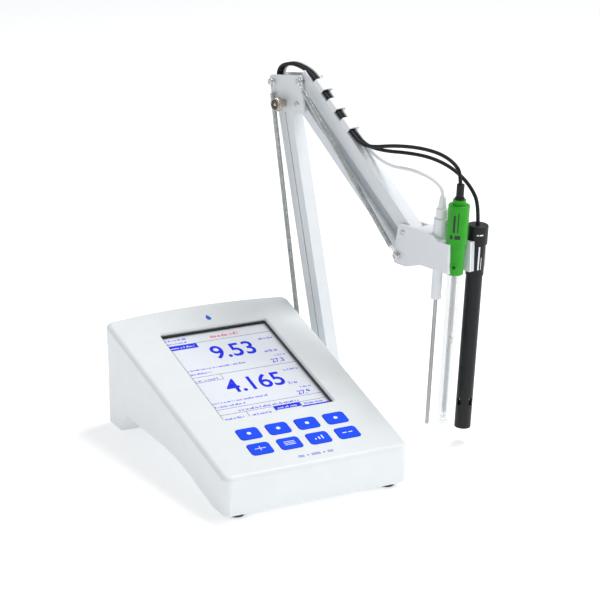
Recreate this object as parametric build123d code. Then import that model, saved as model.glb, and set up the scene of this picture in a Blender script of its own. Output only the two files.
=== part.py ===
from build123d import *
import os
from math import atan, cos, degrees, pi, radians, sin, sqrt, tan

os.makedirs("parts", exist_ok=True)

# A bench pH meter with a sprung electrode arm and three probes. Millimetres, +Z up.
# The front of the meter faces -Y. Shapes are drawn with (0, 0, 0) on the bench under the middle of
# the meter; save() then moves them so that the origin is at the foot of the arm's swivel axis.

# ---------------------------------------------------------------- driving dimensions
DEPTH = 231.0                    # meter, front to back
BACK_HALF = 81.5                 # half its width at the back
FRONT_HALF = 77.0                # half its width at the front
BOW = 6.0                        # how far the middle of the back stands out past its corners
FRONT_TOP = 34.0                 # height of the face at the front edge
SLOPE = 0.2393                   # rise of the face per mm of depth
PART_DROP = 16.5                 # the parting line runs this far below the face
WALL = 2.5
FOOT = 3.0                       # height of the rubber feet
BELLY = 20.5                     # height of the raised underside
LEG_FRONT = 80.0                 # y of the rear leg's front

FRONT_Y = -DEPTH / 2
BACK_Y = DEPTH / 2
CORNER_Y = BACK_Y - BOW
TILT = degrees(atan(SLOPE))

PANEL_X = 1.5                    # the display and the keys are centred on this x
WINDOW = (94.0, 129.0)           # opening over the display, across and up the slope
WINDOW_V = 136.0                 # its middle, measured up the slope from the front edge
SCREEN = (91.5, 125.5)           # clear opening of the bezel
KEY = (18.0, 14.4)
KEY_PITCH = 24.4
KEY_ROWS = (49.2, 28.8)          # up the slope from the front edge
KEY_PROUD = 0.5
KEY_GAP = 0.3
REAR_PANEL = (-62.0, 62.0, 22.0, 60.0)      # x and z limits of the opening in the back wall
PANEL_BACK = 102.0               # y of the outer face of the rear panel

BNC_X, DIN_X, TEMP_X = 25.0, -5.0, -35.0    # the three probe sockets
SOCKET_Z = 45.0
DC_X, USB_X, SWITCH_X = 47.0, -53.0, 48.0

# the electrode arm stands beside the meter; h runs forwards along the arm, lat to its far side
ARM_X, ARM_Y = 106.0, 66.0       # where h and lat are zero
PIN_H = -8.0                     # h of the pin that the arm swivels on
ARM_AZIMUTH = -74.7              # direction of +h, degrees from +X
ARM_HALF = 6.0                   # half the width of the channels
SHEET = 1.1                      # their sheet thickness
ARM_TOP = 7.8                    # the arm channel's top above its pivot line
LINK_DEPTH = 7.6                 # depth of the post links and of the lower arm link
PLATE = 1.8                      # bracket plate thickness
PLATE_IN = 7.0                   # inner face of the bracket plates
STUB_HOLE = 1.55
LOOSE_HOLE = 1.6                 # the looser far hole of the two followers
STUB = 1.5                       # radius of the pivot screws

P1 = (-8.6, 22.0)                # rear post pivot at the base
P2 = (0.2, 22.0)                 # front post pivot at the base
POST_LENGTH = 235.4
POST_LEAN = 12.9                 # degrees backwards
Q1 = (P1[0] - POST_LENGTH * sin(radians(POST_LEAN)), P1[1] + POST_LENGTH * cos(radians(POST_LEAN)))
Q2 = (P2[0] + Q1[0] - P1[0], Q1[1])
R1 = (-32.2, 272.1)              # upper pivot of the arm channel at the bracket
R2 = (-36.9, 252.5)              # pivot of the lower arm link at the bracket
ARM_LENGTH = 157.3
ARM_DROP = 39.95                 # degrees below level
S1 = (R1[0] + ARM_LENGTH * cos(radians(ARM_DROP)), R1[1] - ARM_LENGTH * sin(radians(ARM_DROP)))
S2 = (S1[0] + R2[0] - R1[0], S1[1] + R2[1] - R1[1])
SPRING_TOP = (-65.9, 267.1)      # screw at the bracket's rear top corner
SPRING_FOOT = (-25.0, 24.0)      # ear on the swivelling base
BRACKET_MID = (-49.5, 259.5)
BRACKET_SIZE = (39.5, 30.5)
BRACKET_TILT = 7.5
SPRING_LAT = 11.6                # springs run this far to each side of the arm

HEAD_FRONT, HEAD_BACK = 138.5, 78.5
CLIP_FRONT = 145.0               # the wall between the two clips stands out this far
HEAD_HALF = 9.2
HEAD_LOW, HEAD_HIGH = 148.0, 172.0
PROBE_TILT = 3.6                 # the probes' feet swing back by this angle
PH_H, WHITE_H = 137.2, 119.6     # where the probes' axes stand at mid height of the head
EC_H, EC_LAT = 140.0, 20.0
HEAD_MID = 160.0
CORD_R = 1.5
CORD_SIDE = 3.1                  # the outer two cords lie this far from the middle one on the arm


# ---------------------------------------------------------------- small helpers
def save(name, shape):
    """Write one node, with the origin moved to the foot of the swivel axis."""
    pin = arm_point(PIN_H, 0, 0)
    solids = [Pos(-pin[0], -pin[1], 0) * solid for solid in shape.solids()]
    body = solids[0] if len(solids) == 1 else Compound(children=list(solids))
    body.label = name
    export_step(body, f"parts/{name}.step")
    print(f"{name:22s} {len(solids)} solids {sum(s.volume for s in solids) / 1000:9.2f} cm3")


def group(shapes):
    """Several solids as one node."""
    return Compound(children=[s for shape in shapes for s in shape.solids()])


def block(x0, x1, y0, y1, z0, z1):
    """A box between its limits."""
    return Pos((x0 + x1) / 2, (y0 + y1) / 2, (z0 + z1) / 2) * Box(x1 - x0, y1 - y0, z1 - z0)


def rod_x(x0, x1, y, z, radius):
    return Pos((x0 + x1) / 2, y, z) * Rot(0, 90, 0) * Cylinder(radius, x1 - x0)


def rod_y(x, y0, y1, z, radius):
    return Pos(x, (y0 + y1) / 2, z) * Rot(90, 0, 0) * Cylinder(radius, y1 - y0)


def rod_z(x, y, z0, z1, radius):
    return Pos(x, y, (z0 + z1) / 2) * Cylinder(radius, z1 - z0)


def face_z(y):
    """Height of the sloping face above the bench."""
    return FRONT_TOP + SLOPE * (y - FRONT_Y)


def on_face(shape):
    """From face axes (across, up the slope, outwards) to the meter's own."""
    return Pos(PANEL_X, FRONT_Y, FRONT_TOP) * Rot(TILT, 0, 0) * shape


def plate_on_face(width, height, low, high, radius, u=0.0, v=0.0):
    """A rounded plate lying along the face between two levels."""
    outline = Pos(u, v, low) * RectangleRounded(width, height, radius)
    return on_face(extrude(outline, amount=high - low))


def in_arm(shape):
    """From arm axes (h forwards, lat to the far side, z up) to the meter's own."""
    return Pos(ARM_X, ARM_Y, 0) * Rot(0, 0, ARM_AZIMUTH) * shape


def arm_point(h, lat, z):
    """A point given in arm axes, in the meter's own axes."""
    a = radians(ARM_AZIMUTH)
    return (ARM_X + h * cos(a) - lat * sin(a), ARM_Y + h * sin(a) + lat * cos(a), z)


# ---------------------------------------------------------------- meter housing
def plan(inset):
    """The meter seen from above: a slight taper to the front and a bowed back."""
    back = BACK_HALF - inset
    front = FRONT_HALF - inset
    outline = Polyline((back, CORNER_Y - inset), (front, FRONT_Y + inset),
                       (-front, FRONT_Y + inset), (-back, CORNER_Y - inset))
    rear = ThreePointArc((-back, CORNER_Y - inset), (0, BACK_Y - inset), (back, CORNER_Y - inset))
    return make_face(Wire([*outline.edges(), rear.edge()]))


def prism(points, half=100.0):
    """A side profile of (y, z) points, extruded across the meter."""
    outline = Plane.YZ.offset(-half) * Polyline(*points, close=True)
    return extrude(make_face(outline), amount=2 * half)


def face_slab(low, high):
    """The space between two levels below the sloping face, measured square to it."""
    y0, y1 = FRONT_Y - 20, BACK_Y + 20
    low, high = low / cos(radians(TILT)), high / cos(radians(TILT))
    return prism([(y0, face_z(y0) - high), (y1, face_z(y1) - high),
                  (y1, face_z(y1) - low), (y0, face_z(y0) - low)])


def column(inset, corner):
    """The plan outline as an upright column with rounded corners."""
    body = extrude(plan(inset), amount=120)
    return fillet(body.edges().filter_by(Axis.Z), corner)


def key_centres():
    """Where the eight keys stand on the face: the top row first, left to right."""
    offsets = [(i - 1.5) * KEY_PITCH for i in range(4)]
    return [(u, v) for v in KEY_ROWS for u in offsets]


def top_bosses():
    """Pillars under the face that the display and the keypad are screwed to."""
    spots = [(u, v, 8.4) for u in (-56.0, 56.0) for v in (76.0, 196.0)]
    spots += [(u, v, 6.1) for u in (-57.0, 57.0) for v in (22.0, 56.0)]
    root = WALL - 1.0
    return [on_face(Pos(u, v, -(root + depth) / 2) * Cylinder(3.0, depth - root)) for u, v, depth in spots]


def top_housing():
    shell = column(0, 7.0) & face_slab(0, PART_DROP)
    top = [e for e in shell.edges() if abs(e.center().Z - face_z(e.center().Y)) < 0.6]
    shell = fillet(top, 4.0)
    hollow = column(WALL, 5.0) & face_slab(WALL, PART_DROP + 5)
    shell -= hollow
    shell += top_bosses()
    opening = extrude(Pos(0, WINDOW_V, -6) * RectangleRounded(*WINDOW, 2.0), amount=12)
    bevel = loft([Pos(0, WINDOW_V, -1.2) * RectangleRounded(*WINDOW, 2.0).face(),
                  Pos(0, WINDOW_V, 0.2) * RectangleRounded(WINDOW[0] + 2.4, WINDOW[1] + 2.4, 3.0).face()])
    shell -= on_face(opening)
    shell -= on_face(bevel)
    for u, v in key_centres():
        hole = RectangleRounded(KEY[0] + 2 * KEY_GAP, KEY[1] + 2 * KEY_GAP, 3.3)
        shell -= on_face(extrude(Pos(u, v, -6) * hole, amount=12))
    return shell


def underside(lift):
    """Side profile from the bench side: front pad, gently arched belly, arch up from the rear leg."""
    low, belly = FOOT + lift, BELLY + lift
    arch = BELLY - FOOT - lift
    front = FRONT_Y + 1.0 + lift
    leg = LEG_FRONT + lift
    rear = BACK_Y + 20
    top = face_z(rear)
    line_1 = Polyline((front, top), (front, low), (-99.0, low), (-54.0, low + 11.5))
    belly_curve = ThreePointArc((-54.0, low + 11.5), (-32.0, belly - 2.2), (-6.0, belly))
    line_2 = Line((-6.0, belly), (leg - arch, belly))
    leg_curve = RadiusArc((leg - arch, belly), (leg, low), arch)
    line_3 = Polyline((leg, low), (rear, low), (rear, top), (front, top))
    wire = Wire([*line_1.edges(), belly_curve.edge(), line_2.edge(), leg_curve.edge(), *line_3.edges()])
    return extrude(make_face(Plane.YZ.offset(-100) * wire), amount=200)


CASE_SCREWS = ((-46.0, -104.5), (46.0, -104.5), (-68.0, 92.0), (60.0, 93.0))


def bottom_housing():
    shell = column(0.4, 7.0) & face_slab(PART_DROP, 200) & underside(0)
    lower = [e for e in shell.edges() if e.center().Z < FOOT + 0.2 and e.center().Y < 0]
    shell = fillet(lower, 2.0)
    hollow = column(WALL + 0.4, 5.0) & underside(WALL + 0.5)
    hollow -= block(-100, 100, PANEL_BACK, 200, 0, 200)
    shell -= hollow
    x0, x1, z0, z1 = REAR_PANEL
    shell -= block(x0, x1, PANEL_BACK - 1, 200, z0, z1)
    for x, y in CASE_SCREWS:
        shell += rod_z(x, y, FOOT + 0.5, face_z(y) - PART_DROP - 2.0, 4.0)
        shell -= rod_z(x, y, -1, FOOT + 1.5, 3.0)
        shell -= rod_z(x, y, -1, FOOT + 9.0, STUB)
    for x, y in BOARD_SCREWS:
        shell += rod_z(x, y, BELLY + 0.5, BOARD_Z, 3.5)
        shell -= rod_z(x, y, BOARD_Z - 4.0, BOARD_Z + 1, 1.2)
    for x, y in BASE_SCREWS:
        shell += rod_z(x, y, FOOT + 1, FOOT + 9, 4.5)
        shell -= rod_z(x, y, FOOT - 1, FOOT + 7, 1.9)
    return shell


def housing_screws():
    """Four countersunk screws up through the bottom housing."""
    return group([rod_z(x, y, FOOT + 0.2, FOOT + 1.5, 2.8) + rod_z(x, y, FOOT + 1.0, FOOT + 9.0, STUB)
                  for x, y in CASE_SCREWS])


def feet():
    """Rubber feet: two in front, one at the rear left."""
    spots = ((-63.0, -105.5), (63.0, -105.5), (-60.0, 100.0))
    made = []
    for x, y in spots:
        foot = rod_z(x, y, 0, FOOT, 5.5)
        made.append(chamfer(foot.edges().group_by(Axis.Z)[0], 0.6))
    return group(made)


# ---------------------------------------------------------------- display, keys and boards
def display_bezel():
    """Black frame pressed against the back of the face around the display."""
    outer = plate_on_face(101, 136, -WALL - 0.8, -WALL, 2.0, 0, WINDOW_V)
    return outer - plate_on_face(*SCREEN, -WALL - 2, 0, 0.6, 0, WINDOW_V)


def display_lens():
    return plate_on_face(100, 135, -WALL - 2.2, -WALL - 0.8, 1.5, 0, WINDOW_V)


def lcd_module():
    """Metal-framed display module behind the lens, with four fixing ears under the bosses."""
    body = plate_on_face(104, 134, -9.4, -WALL - 2.2, 1.0, 0, WINDOW_V)
    for v in (76.0, 196.0):
        body += plate_on_face(120, 8, -9.4, -8.4, 2.0, 0, v)
    return body


def key_cap(u, v):
    """A key: rounded cap through the face, and a flange that keeps it in."""
    cap = extrude(Pos(u, v, -3.0) * RectangleRounded(*KEY, 3.0), amount=3.0 + KEY_PROUD)
    cap = fillet(cap.edges().group_by(Axis.Z)[-1], 0.45)
    flange = extrude(Pos(u, v, -3.5) * RectangleRounded(KEY[0] + 2.4, KEY[1] + 2.4, 3.5), amount=0.9)
    return on_face(cap + flange)


def key_mat():
    """Rubber mat with a dome under each key."""
    mat = plate_on_face(106, 46, -6.1, -4.9, 3.0, 0, sum(KEY_ROWS) / 2)
    for u, v in key_centres():
        mat += on_face(Pos(u, v, -4.65) * Cylinder(3.5, 0.7))
    return mat


def keypad_board():
    return plate_on_face(120, 50, -7.7, -6.1, 2.0, 0, sum(KEY_ROWS) / 2)


BOARD_Z = 28.0
BOARD_SCREWS = ((-55.0, -10.0), (55.0, -10.0), (-55.0, 66.0), (55.0, 66.0))


def main_board():
    """Main circuit board with its larger components."""
    board = block(-61, 61, -18, 88, BOARD_Z, BOARD_Z + 1.6)
    top = BOARD_Z + 1.6
    board += block(-15, 13, 5, 33, top, top + 2.5)
    board += block(20, 36, 20, 36, top, top + 1.8)
    board += rod_z(-38, 12, top, top + 9, 5.0)
    board += rod_z(-38, 30, top, top + 9, 5.0)
    board += block(30, 48, 46, 60, top, top + 8)
    board += rod_z(-35, 58, top, top + 3.2, 10.0)
    for x, y in BOARD_SCREWS:
        board -= rod_z(x, y, BOARD_Z - 1, BOARD_Z + 3, 1.4)
    return board


def board_screws():
    made = []
    for x, y in BOARD_SCREWS:
        head = rod_z(x, y, BOARD_Z + 1.6, BOARD_Z + 3.4, 2.6)
        made.append(head + rod_z(x, y, BOARD_Z - 3.5, BOARD_Z + 2, 1.15))
    return group(made)


# ---------------------------------------------------------------- rear connectors
def rear_panel():
    """Flat connector panel closing the opening in the back wall from inside."""
    x0, x1, z0, z1 = REAR_PANEL
    panel = block(x0 + 0.4, x1 - 0.4, PANEL_BACK - 2.0, PANEL_BACK, z0 + 0.4, z1 - 0.4)
    for x, radius in ((BNC_X, 5.1), (DIN_X, 7.6), (TEMP_X, 4.1), (DC_X, 3.6)):
        z = SOCKET_Z if x != DC_X else SOCKET_Z + 5.0
        panel -= rod_y(x, PANEL_BACK - 3, PANEL_BACK + 1, z, radius)
    panel -= block(USB_X - 6.1, USB_X + 6.1, PANEL_BACK - 3, PANEL_BACK + 1, SOCKET_Z - 5.6, SOCKET_Z + 5.6)
    return panel - block(SWITCH_X - 6.6, SWITCH_X + 6.6, PANEL_BACK - 3, PANEL_BACK + 1, 27.9, 41.1)


def bnc_socket():
    """Coaxial bayonet socket with its two lugs and a flange nut."""
    body = rod_y(BNC_X, PANEL_BACK - 7, PANEL_BACK + 12, SOCKET_Z, 4.8)
    body += rod_y(BNC_X, PANEL_BACK, PANEL_BACK + 1.5, SOCKET_Z, 7.0)
    body += rod_z(BNC_X, PANEL_BACK + 9.5, SOCKET_Z - 5.6, SOCKET_Z + 5.6, 0.9)
    body -= rod_y(BNC_X, PANEL_BACK + 3, PANEL_BACK + 13, SOCKET_Z, 4.1)
    return body + rod_y(BNC_X, PANEL_BACK, PANEL_BACK + 9, SOCKET_Z, 0.7)


def din_socket():
    body = rod_y(DIN_X, PANEL_BACK - 8, PANEL_BACK + 2, SOCKET_Z, 7.3)
    body += rod_y(DIN_X, PANEL_BACK, PANEL_BACK + 1.2, SOCKET_Z, 9.0)
    return body - rod_y(DIN_X, PANEL_BACK - 5, PANEL_BACK + 3, SOCKET_Z, 5.6)


def temp_socket():
    body = rod_y(TEMP_X, PANEL_BACK - 8, PANEL_BACK + 3, SOCKET_Z, 3.9)
    body += rod_y(TEMP_X, PANEL_BACK, PANEL_BACK + 1.2, SOCKET_Z, 6.5)
    return body - rod_y(TEMP_X, PANEL_BACK - 6, PANEL_BACK + 4, SOCKET_Z, 2.0)


def dc_jack():
    z = SOCKET_Z + 5.0
    body = rod_y(DC_X, PANEL_BACK - 8, PANEL_BACK, z, 3.4)
    body += rod_y(DC_X, PANEL_BACK, PANEL_BACK + 1.0, z, 5.0)
    body -= rod_y(DC_X, PANEL_BACK - 7, PANEL_BACK + 2, z, 2.6)
    return body + rod_y(DC_X, PANEL_BACK - 7.5, PANEL_BACK - 1, z, 0.9)


def usb_socket():
    """Square data socket."""
    y0, y1 = PANEL_BACK - 9, PANEL_BACK + 0.6
    body = block(USB_X - 5.9, USB_X + 5.9, y0, y1, SOCKET_Z - 5.4, SOCKET_Z + 5.4)
    body -= block(USB_X - 4.4, USB_X + 4.4, y0 + 2, y1 + 1, SOCKET_Z - 4.0, SOCKET_Z + 4.0)
    return body + block(USB_X - 2.8, USB_X + 2.8, y0 + 1.5, y1 - 1.5, SOCKET_Z - 1.6, SOCKET_Z + 1.6)


SWITCH_Z = 34.5


def power_switch():
    """Snap-in switch housing around the rocker."""
    y0, y1 = PANEL_BACK - 9, PANEL_BACK + 1.2
    body = block(SWITCH_X - 6.4, SWITCH_X + 6.4, y0, y1, SWITCH_Z - 6.4, SWITCH_Z + 6.4)
    body += block(SWITCH_X - 7.6, SWITCH_X + 7.6, PANEL_BACK, y1, SWITCH_Z - 7.6, SWITCH_Z + 7.6)
    return body - block(SWITCH_X - 5.2, SWITCH_X + 5.2, y0 + 2, y1 + 1, SWITCH_Z - 5.4, SWITCH_Z + 5.4)


def power_rocker():
    """Rocker, tipped to its on position; it turns about a line along X."""
    wedge = Polyline((-3.4, -4.4), (1.2, -4.6), (2.0, 0.0), (3.4, 4.2), (-3.0, 4.2), close=True)
    body = extrude(make_face(Plane.YZ * wedge), amount=4.9, both=True)
    return Pos(SWITCH_X, PANEL_BACK - 1.0, SWITCH_Z) * body


# ---------------------------------------------------------------- arm base
BASE_SCREWS = ((30.0, 90.0), (46.0, 96.0), (70.0, 89.0))
PLATE_TOP = FOOT
PIN_R = 5.0
EAR = 2.4                        # thickness of the arm base's ears


def base_plate():
    """Steel plate under the meter's rear leg, running out to the arm's pin."""
    plate = block(18, 127, 46, 102.5, 0, PLATE_TOP)
    plate = fillet(plate.edges().filter_by(Axis.Z), 8.0)
    for x, y in BASE_SCREWS:
        plate -= rod_z(x, y, -1, PLATE_TOP + 1, 2.0)
        plate -= rod_z(x, y, -1, 1.6, 3.6)
    pin = rod_z(0, 0, PLATE_TOP - 1.0, 14.0, PIN_R)
    pin = chamfer(pin.edges().group_by(Axis.Z)[-1], 0.8)
    return plate + in_arm(Pos(PIN_H, 0, 0) * pin)


def base_screws():
    return group([rod_z(x, y, 0.1, 1.6, 3.3) + rod_z(x, y, 1.0, FOOT + 6.5, 1.8) for x, y in BASE_SCREWS])


def arm_base():
    """Swivelling foot of the arm: a round hub, two pivot ears and two rear ears for the springs."""
    hub = rod_z(PIN_H, 0, PLATE_TOP + 0.3, 15.0, 16.0)
    hub = fillet(hub.edges().group_by(Axis.Z)[-1], 1.5)
    profile = Polyline((-29.5, 12.0), (-29.5, 28.0), (-9.0, 29.0), (3.5, 28.5), (8.0, 22.0),
                       (8.0, 10.0), (-22.0, 10.0), close=True)
    ear = extrude(make_face(Plane.XZ * profile), amount=EAR / 2, both=True)
    middle = ARM_HALF + 0.6 + EAR / 2
    body = hub + Pos(0, middle, 0) * ear + Pos(0, -middle, 0) * ear
    for h, z in (P1, P2):
        body -= rod_y(h, -20, 20, z, STUB)
    body -= rod_y(SPRING_FOOT[0], -20, 20, SPRING_FOOT[1], STUB)
    body -= rod_z(PIN_H, 0, -1, 14.3, PIN_R + 0.06)
    return in_arm(body)


def stub(h, z, side, tip, head_at, head=2.6, thick=1.6):
    """One short pivot screw: its tip just inside the link's wall, its head outside the plate."""
    top = head_at + thick
    shank = rod_y(h, min(tip * side, head_at * side), max(tip * side, head_at * side), z, STUB)
    cap = rod_y(h, min(head_at * side, top * side), max(head_at * side, top * side), z, head)
    return shank + cap


def hook_screw(h, z, side, tip, plate_out):
    """A pivot screw whose longer head carries a spring's end hook."""
    collar = stub(h, z, side, tip, plate_out, 2.4, 0.6)
    return collar + stub(h, z, side, plate_out, SPRING_LAT + 1.0, 2.8, 1.2)


def base_pivots():
    """Screws of the post's lower pivots, and the screws that hold the post springs."""
    out = ARM_HALF + 3.0
    made = [stub(h, z, side, ARM_HALF - SHEET, out) for h, z in (P1, P2) for side in (-1, 1)]
    made += [hook_screw(*SPRING_FOOT, side, ARM_HALF + 1.0, out) for side in (-1, 1)]
    return in_arm(group(made))


# ---------------------------------------------------------------- links
def channel(length, low, high, web_low, before, after):
    """A sheet channel lying along +X from its pivot, open on one side. The web is at low or at high."""
    body = block(-before, length + after, -ARM_HALF, ARM_HALF, low, high)
    inner = ARM_HALF - SHEET
    if web_low:
        body -= block(-before - 1, length + after + 1, -inner, inner, low + SHEET, high + 1)
    else:
        body -= block(-before - 1, length + after + 1, -inner, inner, low - 1, high - SHEET)
    return body


def with_pivots(body, length, far_hole):
    body -= rod_y(0, -20, 20, 0, STUB_HOLE)
    return body - rod_y(length, -20, 20, 0, far_hole)


def place_link(body, pivot, angle):
    """Turn a link lying along +X to its angle above level, and move it to its pivot."""
    return in_arm(Pos(pivot[0], 0, pivot[1]) * Rot(0, -angle, 0) * body)


POST_ANGLE = 90.0 + POST_LEAN


def post_rear_link():
    """Rear half of the post. Its web is open near the foot, where the cables come in."""
    half = LINK_DEPTH / 2
    body = channel(POST_LENGTH, -half, half, False, 5.0, 5.0)
    inner = ARM_HALF - SHEET
    body -= block(-10, 44, -inner, inner, -half - 1, half + 1)
    body = with_pivots(body, POST_LENGTH, STUB_HOLE)
    return place_link(body, P1, POST_ANGLE)


def post_front_link():
    """Front half of the post, its web facing forwards."""
    half = LINK_DEPTH / 2
    body = channel(POST_LENGTH, -half, half, True, 5.0, 5.0)
    body = with_pivots(body, POST_LENGTH, LOOSE_HOLE)
    return place_link(body, P2, POST_ANGLE)


def arm_channel():
    """Upper arm channel, its web on top, where the cables lie."""
    body = channel(ARM_LENGTH, -4.3, ARM_TOP, False, 5.0, 5.0)
    inner = ARM_HALF - SHEET
    body -= block(-10, 7.5, -inner, inner, 0, ARM_TOP + 1)
    body = with_pivots(body, ARM_LENGTH, STUB_HOLE)
    return place_link(body, R1, -ARM_DROP)


def arm_lower_link():
    body = channel(ARM_LENGTH, -LINK_DEPTH / 2, LINK_DEPTH / 2, True, 5.0, 5.0)
    body = with_pivots(body, ARM_LENGTH, LOOSE_HOLE)
    return place_link(body, R2, -ARM_DROP)


def spring_pair(a, b):
    """A pair of closed coil springs, one on each side, between two screws: plain rods with end hooks."""
    run = sqrt((b[0] - a[0]) ** 2 + (b[1] - a[1]) ** 2)
    angle = degrees(atan((b[1] - a[1]) / (b[0] - a[0])))
    if b[0] < a[0]:
        angle += 180.0
    made = []
    for side in (-1, 1):
        coil = rod_x(9.0, run - 9.0, side * SPRING_LAT, 0, 2.1)
        for end, hook in ((0, rod_x(2.1, 10.0, side * SPRING_LAT, 0, 0.45)),
                          (run, rod_x(run - 10.0, run - 2.1, side * SPRING_LAT, 0, 0.45))):
            coil += hook
            coil += Pos(end, side * SPRING_LAT, 0) * Rot(90, 0, 0) * Torus(2.15, 0.45)
        made.append(coil)
    return in_arm(Pos(a[0], 0, a[1]) * Rot(0, -angle, 0) * group(made))


# ---------------------------------------------------------------- bracket
def bracket_plate(side):
    """One of the two side plates that join the post to the arm."""
    width, height = BRACKET_SIZE
    outline = RectangleRounded(width, height, 3.0)
    plate = extrude(Plane.XZ * outline, amount=PLATE)
    plate = Pos(BRACKET_MID[0], 0, BRACKET_MID[1]) * Rot(0, -BRACKET_TILT, 0) * plate
    shift = PLATE_IN + PLATE if side > 0 else -PLATE_IN
    plate = Pos(0, shift, 0) * plate
    for h, z in (Q1, Q2, R1, R2, SPRING_TOP):
        plate -= rod_y(h, -20, 20, z, STUB)
    if side > 0:
        h, z = SPACER
        plate += rod_y(h, -PLATE_IN, PLATE_IN, z, 2.6)
    return in_arm(plate)


SPACER = (-49.0, 266.5)


def bracket_pivots():
    """The bracket's pivot screws. The front post pivot on the near side is the knob's own screw."""
    out = PLATE_IN + PLATE
    inner = ARM_HALF - SHEET
    made = [stub(*Q1, side, inner, out, 2.6, 0.4) for side in (-1, 1)]
    made += [stub(*R2, side, inner, out) for side in (-1, 1)]
    made.append(stub(*Q2, 1, inner, out, 3.6, 2.4))
    made += [hook_screw(*R1, side, inner, out) for side in (-1, 1)]
    made += [hook_screw(*SPRING_TOP, side, PLATE_IN + 0.2, out) for side in (-1, 1)]
    return in_arm(group(made))


def tension_knob():
    """Knurled knob on the near side that sets how stiffly the post swings."""
    out = PLATE_IN + PLATE
    body = rod_y(Q2[0], -(out + 1.0), -(ARM_HALF - SHEET), Q2[1], STUB - 0.05)
    body += rod_y(Q2[0], -(out + 5.0), -(out + 0.1), Q2[1], 2.9)
    disc = rod_y(Q2[0], -(out + 11.0), -(out + 5.0), Q2[1], 5.5)
    disc = chamfer(disc.edges().filter_by(GeomType.CIRCLE), 0.5)
    return in_arm(body + disc)


def cable_clips():
    """Three saddles that hold the cables down on the arm channel."""
    made = []
    for along in (14.6, 35.2, 55.8):
        saddle = Plane.YZ * Pos(0, ARM_TOP + 2.2) * RectangleRounded(13.0, 6.0, 2.2)
        clip = extrude(saddle, amount=5.5, both=True)
        clip -= block(-10, 10, -4.8, 4.8, 5, ARM_TOP + 3.9)
        clip &= block(-10, 10, -10, 10, ARM_TOP, 20)
        made.append(Pos(along, 0, 0) * clip)
    return place_link(group(made), R1, -ARM_DROP)


# ---------------------------------------------------------------- electrode holder
def leaned(shape, h, lat):
    """Stand a probe part (made along Z, zero at the head's mid height) on its leaning axis."""
    return Pos(h, lat, HEAD_MID) * Rot(0, PROBE_TILT, 0) * shape


def holder_head():
    """Moulded holder: two cheeks on the arm's pivots, a middle block and clips for the three probes."""
    profile = Polyline((86.0, 177.5), (104.0, 177.0), (122.0, 175.5), (127.0, HEAD_HIGH),
                       (HEAD_FRONT, HEAD_HIGH), (HEAD_FRONT, HEAD_LOW), (108.5, 148.8), (92.0, 143.8),
                       (HEAD_BACK, 144.2), (HEAD_BACK + 1.5, 160.0), (83.5, 176.0), close=True)
    body = extrude(make_face(Plane.XZ * profile), amount=HEAD_HALF, both=True)
    corners = [e for e in body.edges().filter_by(Axis.Y) if e.center().X < 87]
    body = fillet(corners, 2.2)
    front = [e for e in body.edges().filter_by(Axis.Z) if e.center().X > HEAD_FRONT - 1]
    body = fillet([e for e in front if e.center().Y < 0], 1.5)
    cheek = ARM_HALF + 0.7
    body -= block(HEAD_BACK - 5, 101.0, -cheek, cheek, 130, 190)
    wall = EC_LAT - EC_LOW_R
    body += block(128.0, CLIP_FRONT, HEAD_HALF - 1, wall, HEAD_LOW, HEAD_HIGH)
    ec_top = HEAD_MID + EC_SHOULDER - 1.2
    body += block(128.0, EC_H + 2.5, wall - 1, EC_LAT + EC_LOW_R + 2.0, HEAD_LOW, ec_top)
    for i in range(2):
        rib = HEAD_HALF + 0.8 + 1.5 * i
        body -= block(CLIP_FRONT - 0.5, CLIP_FRONT + 1, rib, rib + 0.7, 140, 180)
    body -= leaned(Cylinder(PH_LOW_R + 0.1, 80), PH_H, 0)
    body -= leaned(Cylinder(WHITE_R + 0.1, 80), WHITE_H, 0)
    body -= leaned(Cylinder(EC_LOW_R + 0.1, 80), EC_H, EC_LAT)
    body -= leaned(Pos(0, 0, EC_SHOULDER + 19.7) * Cylinder(EC_CAP_R + 0.2, 40), EC_H, EC_LAT)
    body -= block(PH_H, HEAD_FRONT + 1, -PH_LOW_R + 0.6, PH_LOW_R - 0.6, 130, 190)
    for h, z in (S1, S2):
        body -= rod_y(h, -20, 20, z, STUB)
    return in_arm(body)


def head_pivots():
    """Screws of the head's two pivots; the lower ones also hold the arm springs."""
    inner = ARM_HALF - SHEET
    made = [stub(*S1, side, inner, HEAD_HALF, 2.4, 1.0) for side in (-1, 1)]
    made += [hook_screw(*S2, side, inner, HEAD_HALF) for side in (-1, 1)]
    return in_arm(group(made))


# ---------------------------------------------------------------- probes
PH_LOW_R, PH_CAP_R, GLASS_R = 6.9, 8.3, 6.0
WHITE_R = 6.1
EC_CAP_R, EC_LOW_R, EC_STEM_R = 8.3, 7.2, 6.6
EC_SHOULDER = 8.6                # the wide part of the black cap starts here, above its clip
RING_ANGLE = -53.0               # the green cap's small socket faces this way round its axis
PH_SHOULDER = 12.6               # the wide part of the cap rests on the head, above the middle by this
PH_CAP_LOW = -13.0
BULB_END = -144.0


def up(radius, low, high):
    """A cylinder along Z between two levels."""
    return Pos(0, 0, (low + high) / 2) * Cylinder(radius, high - low)


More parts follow.
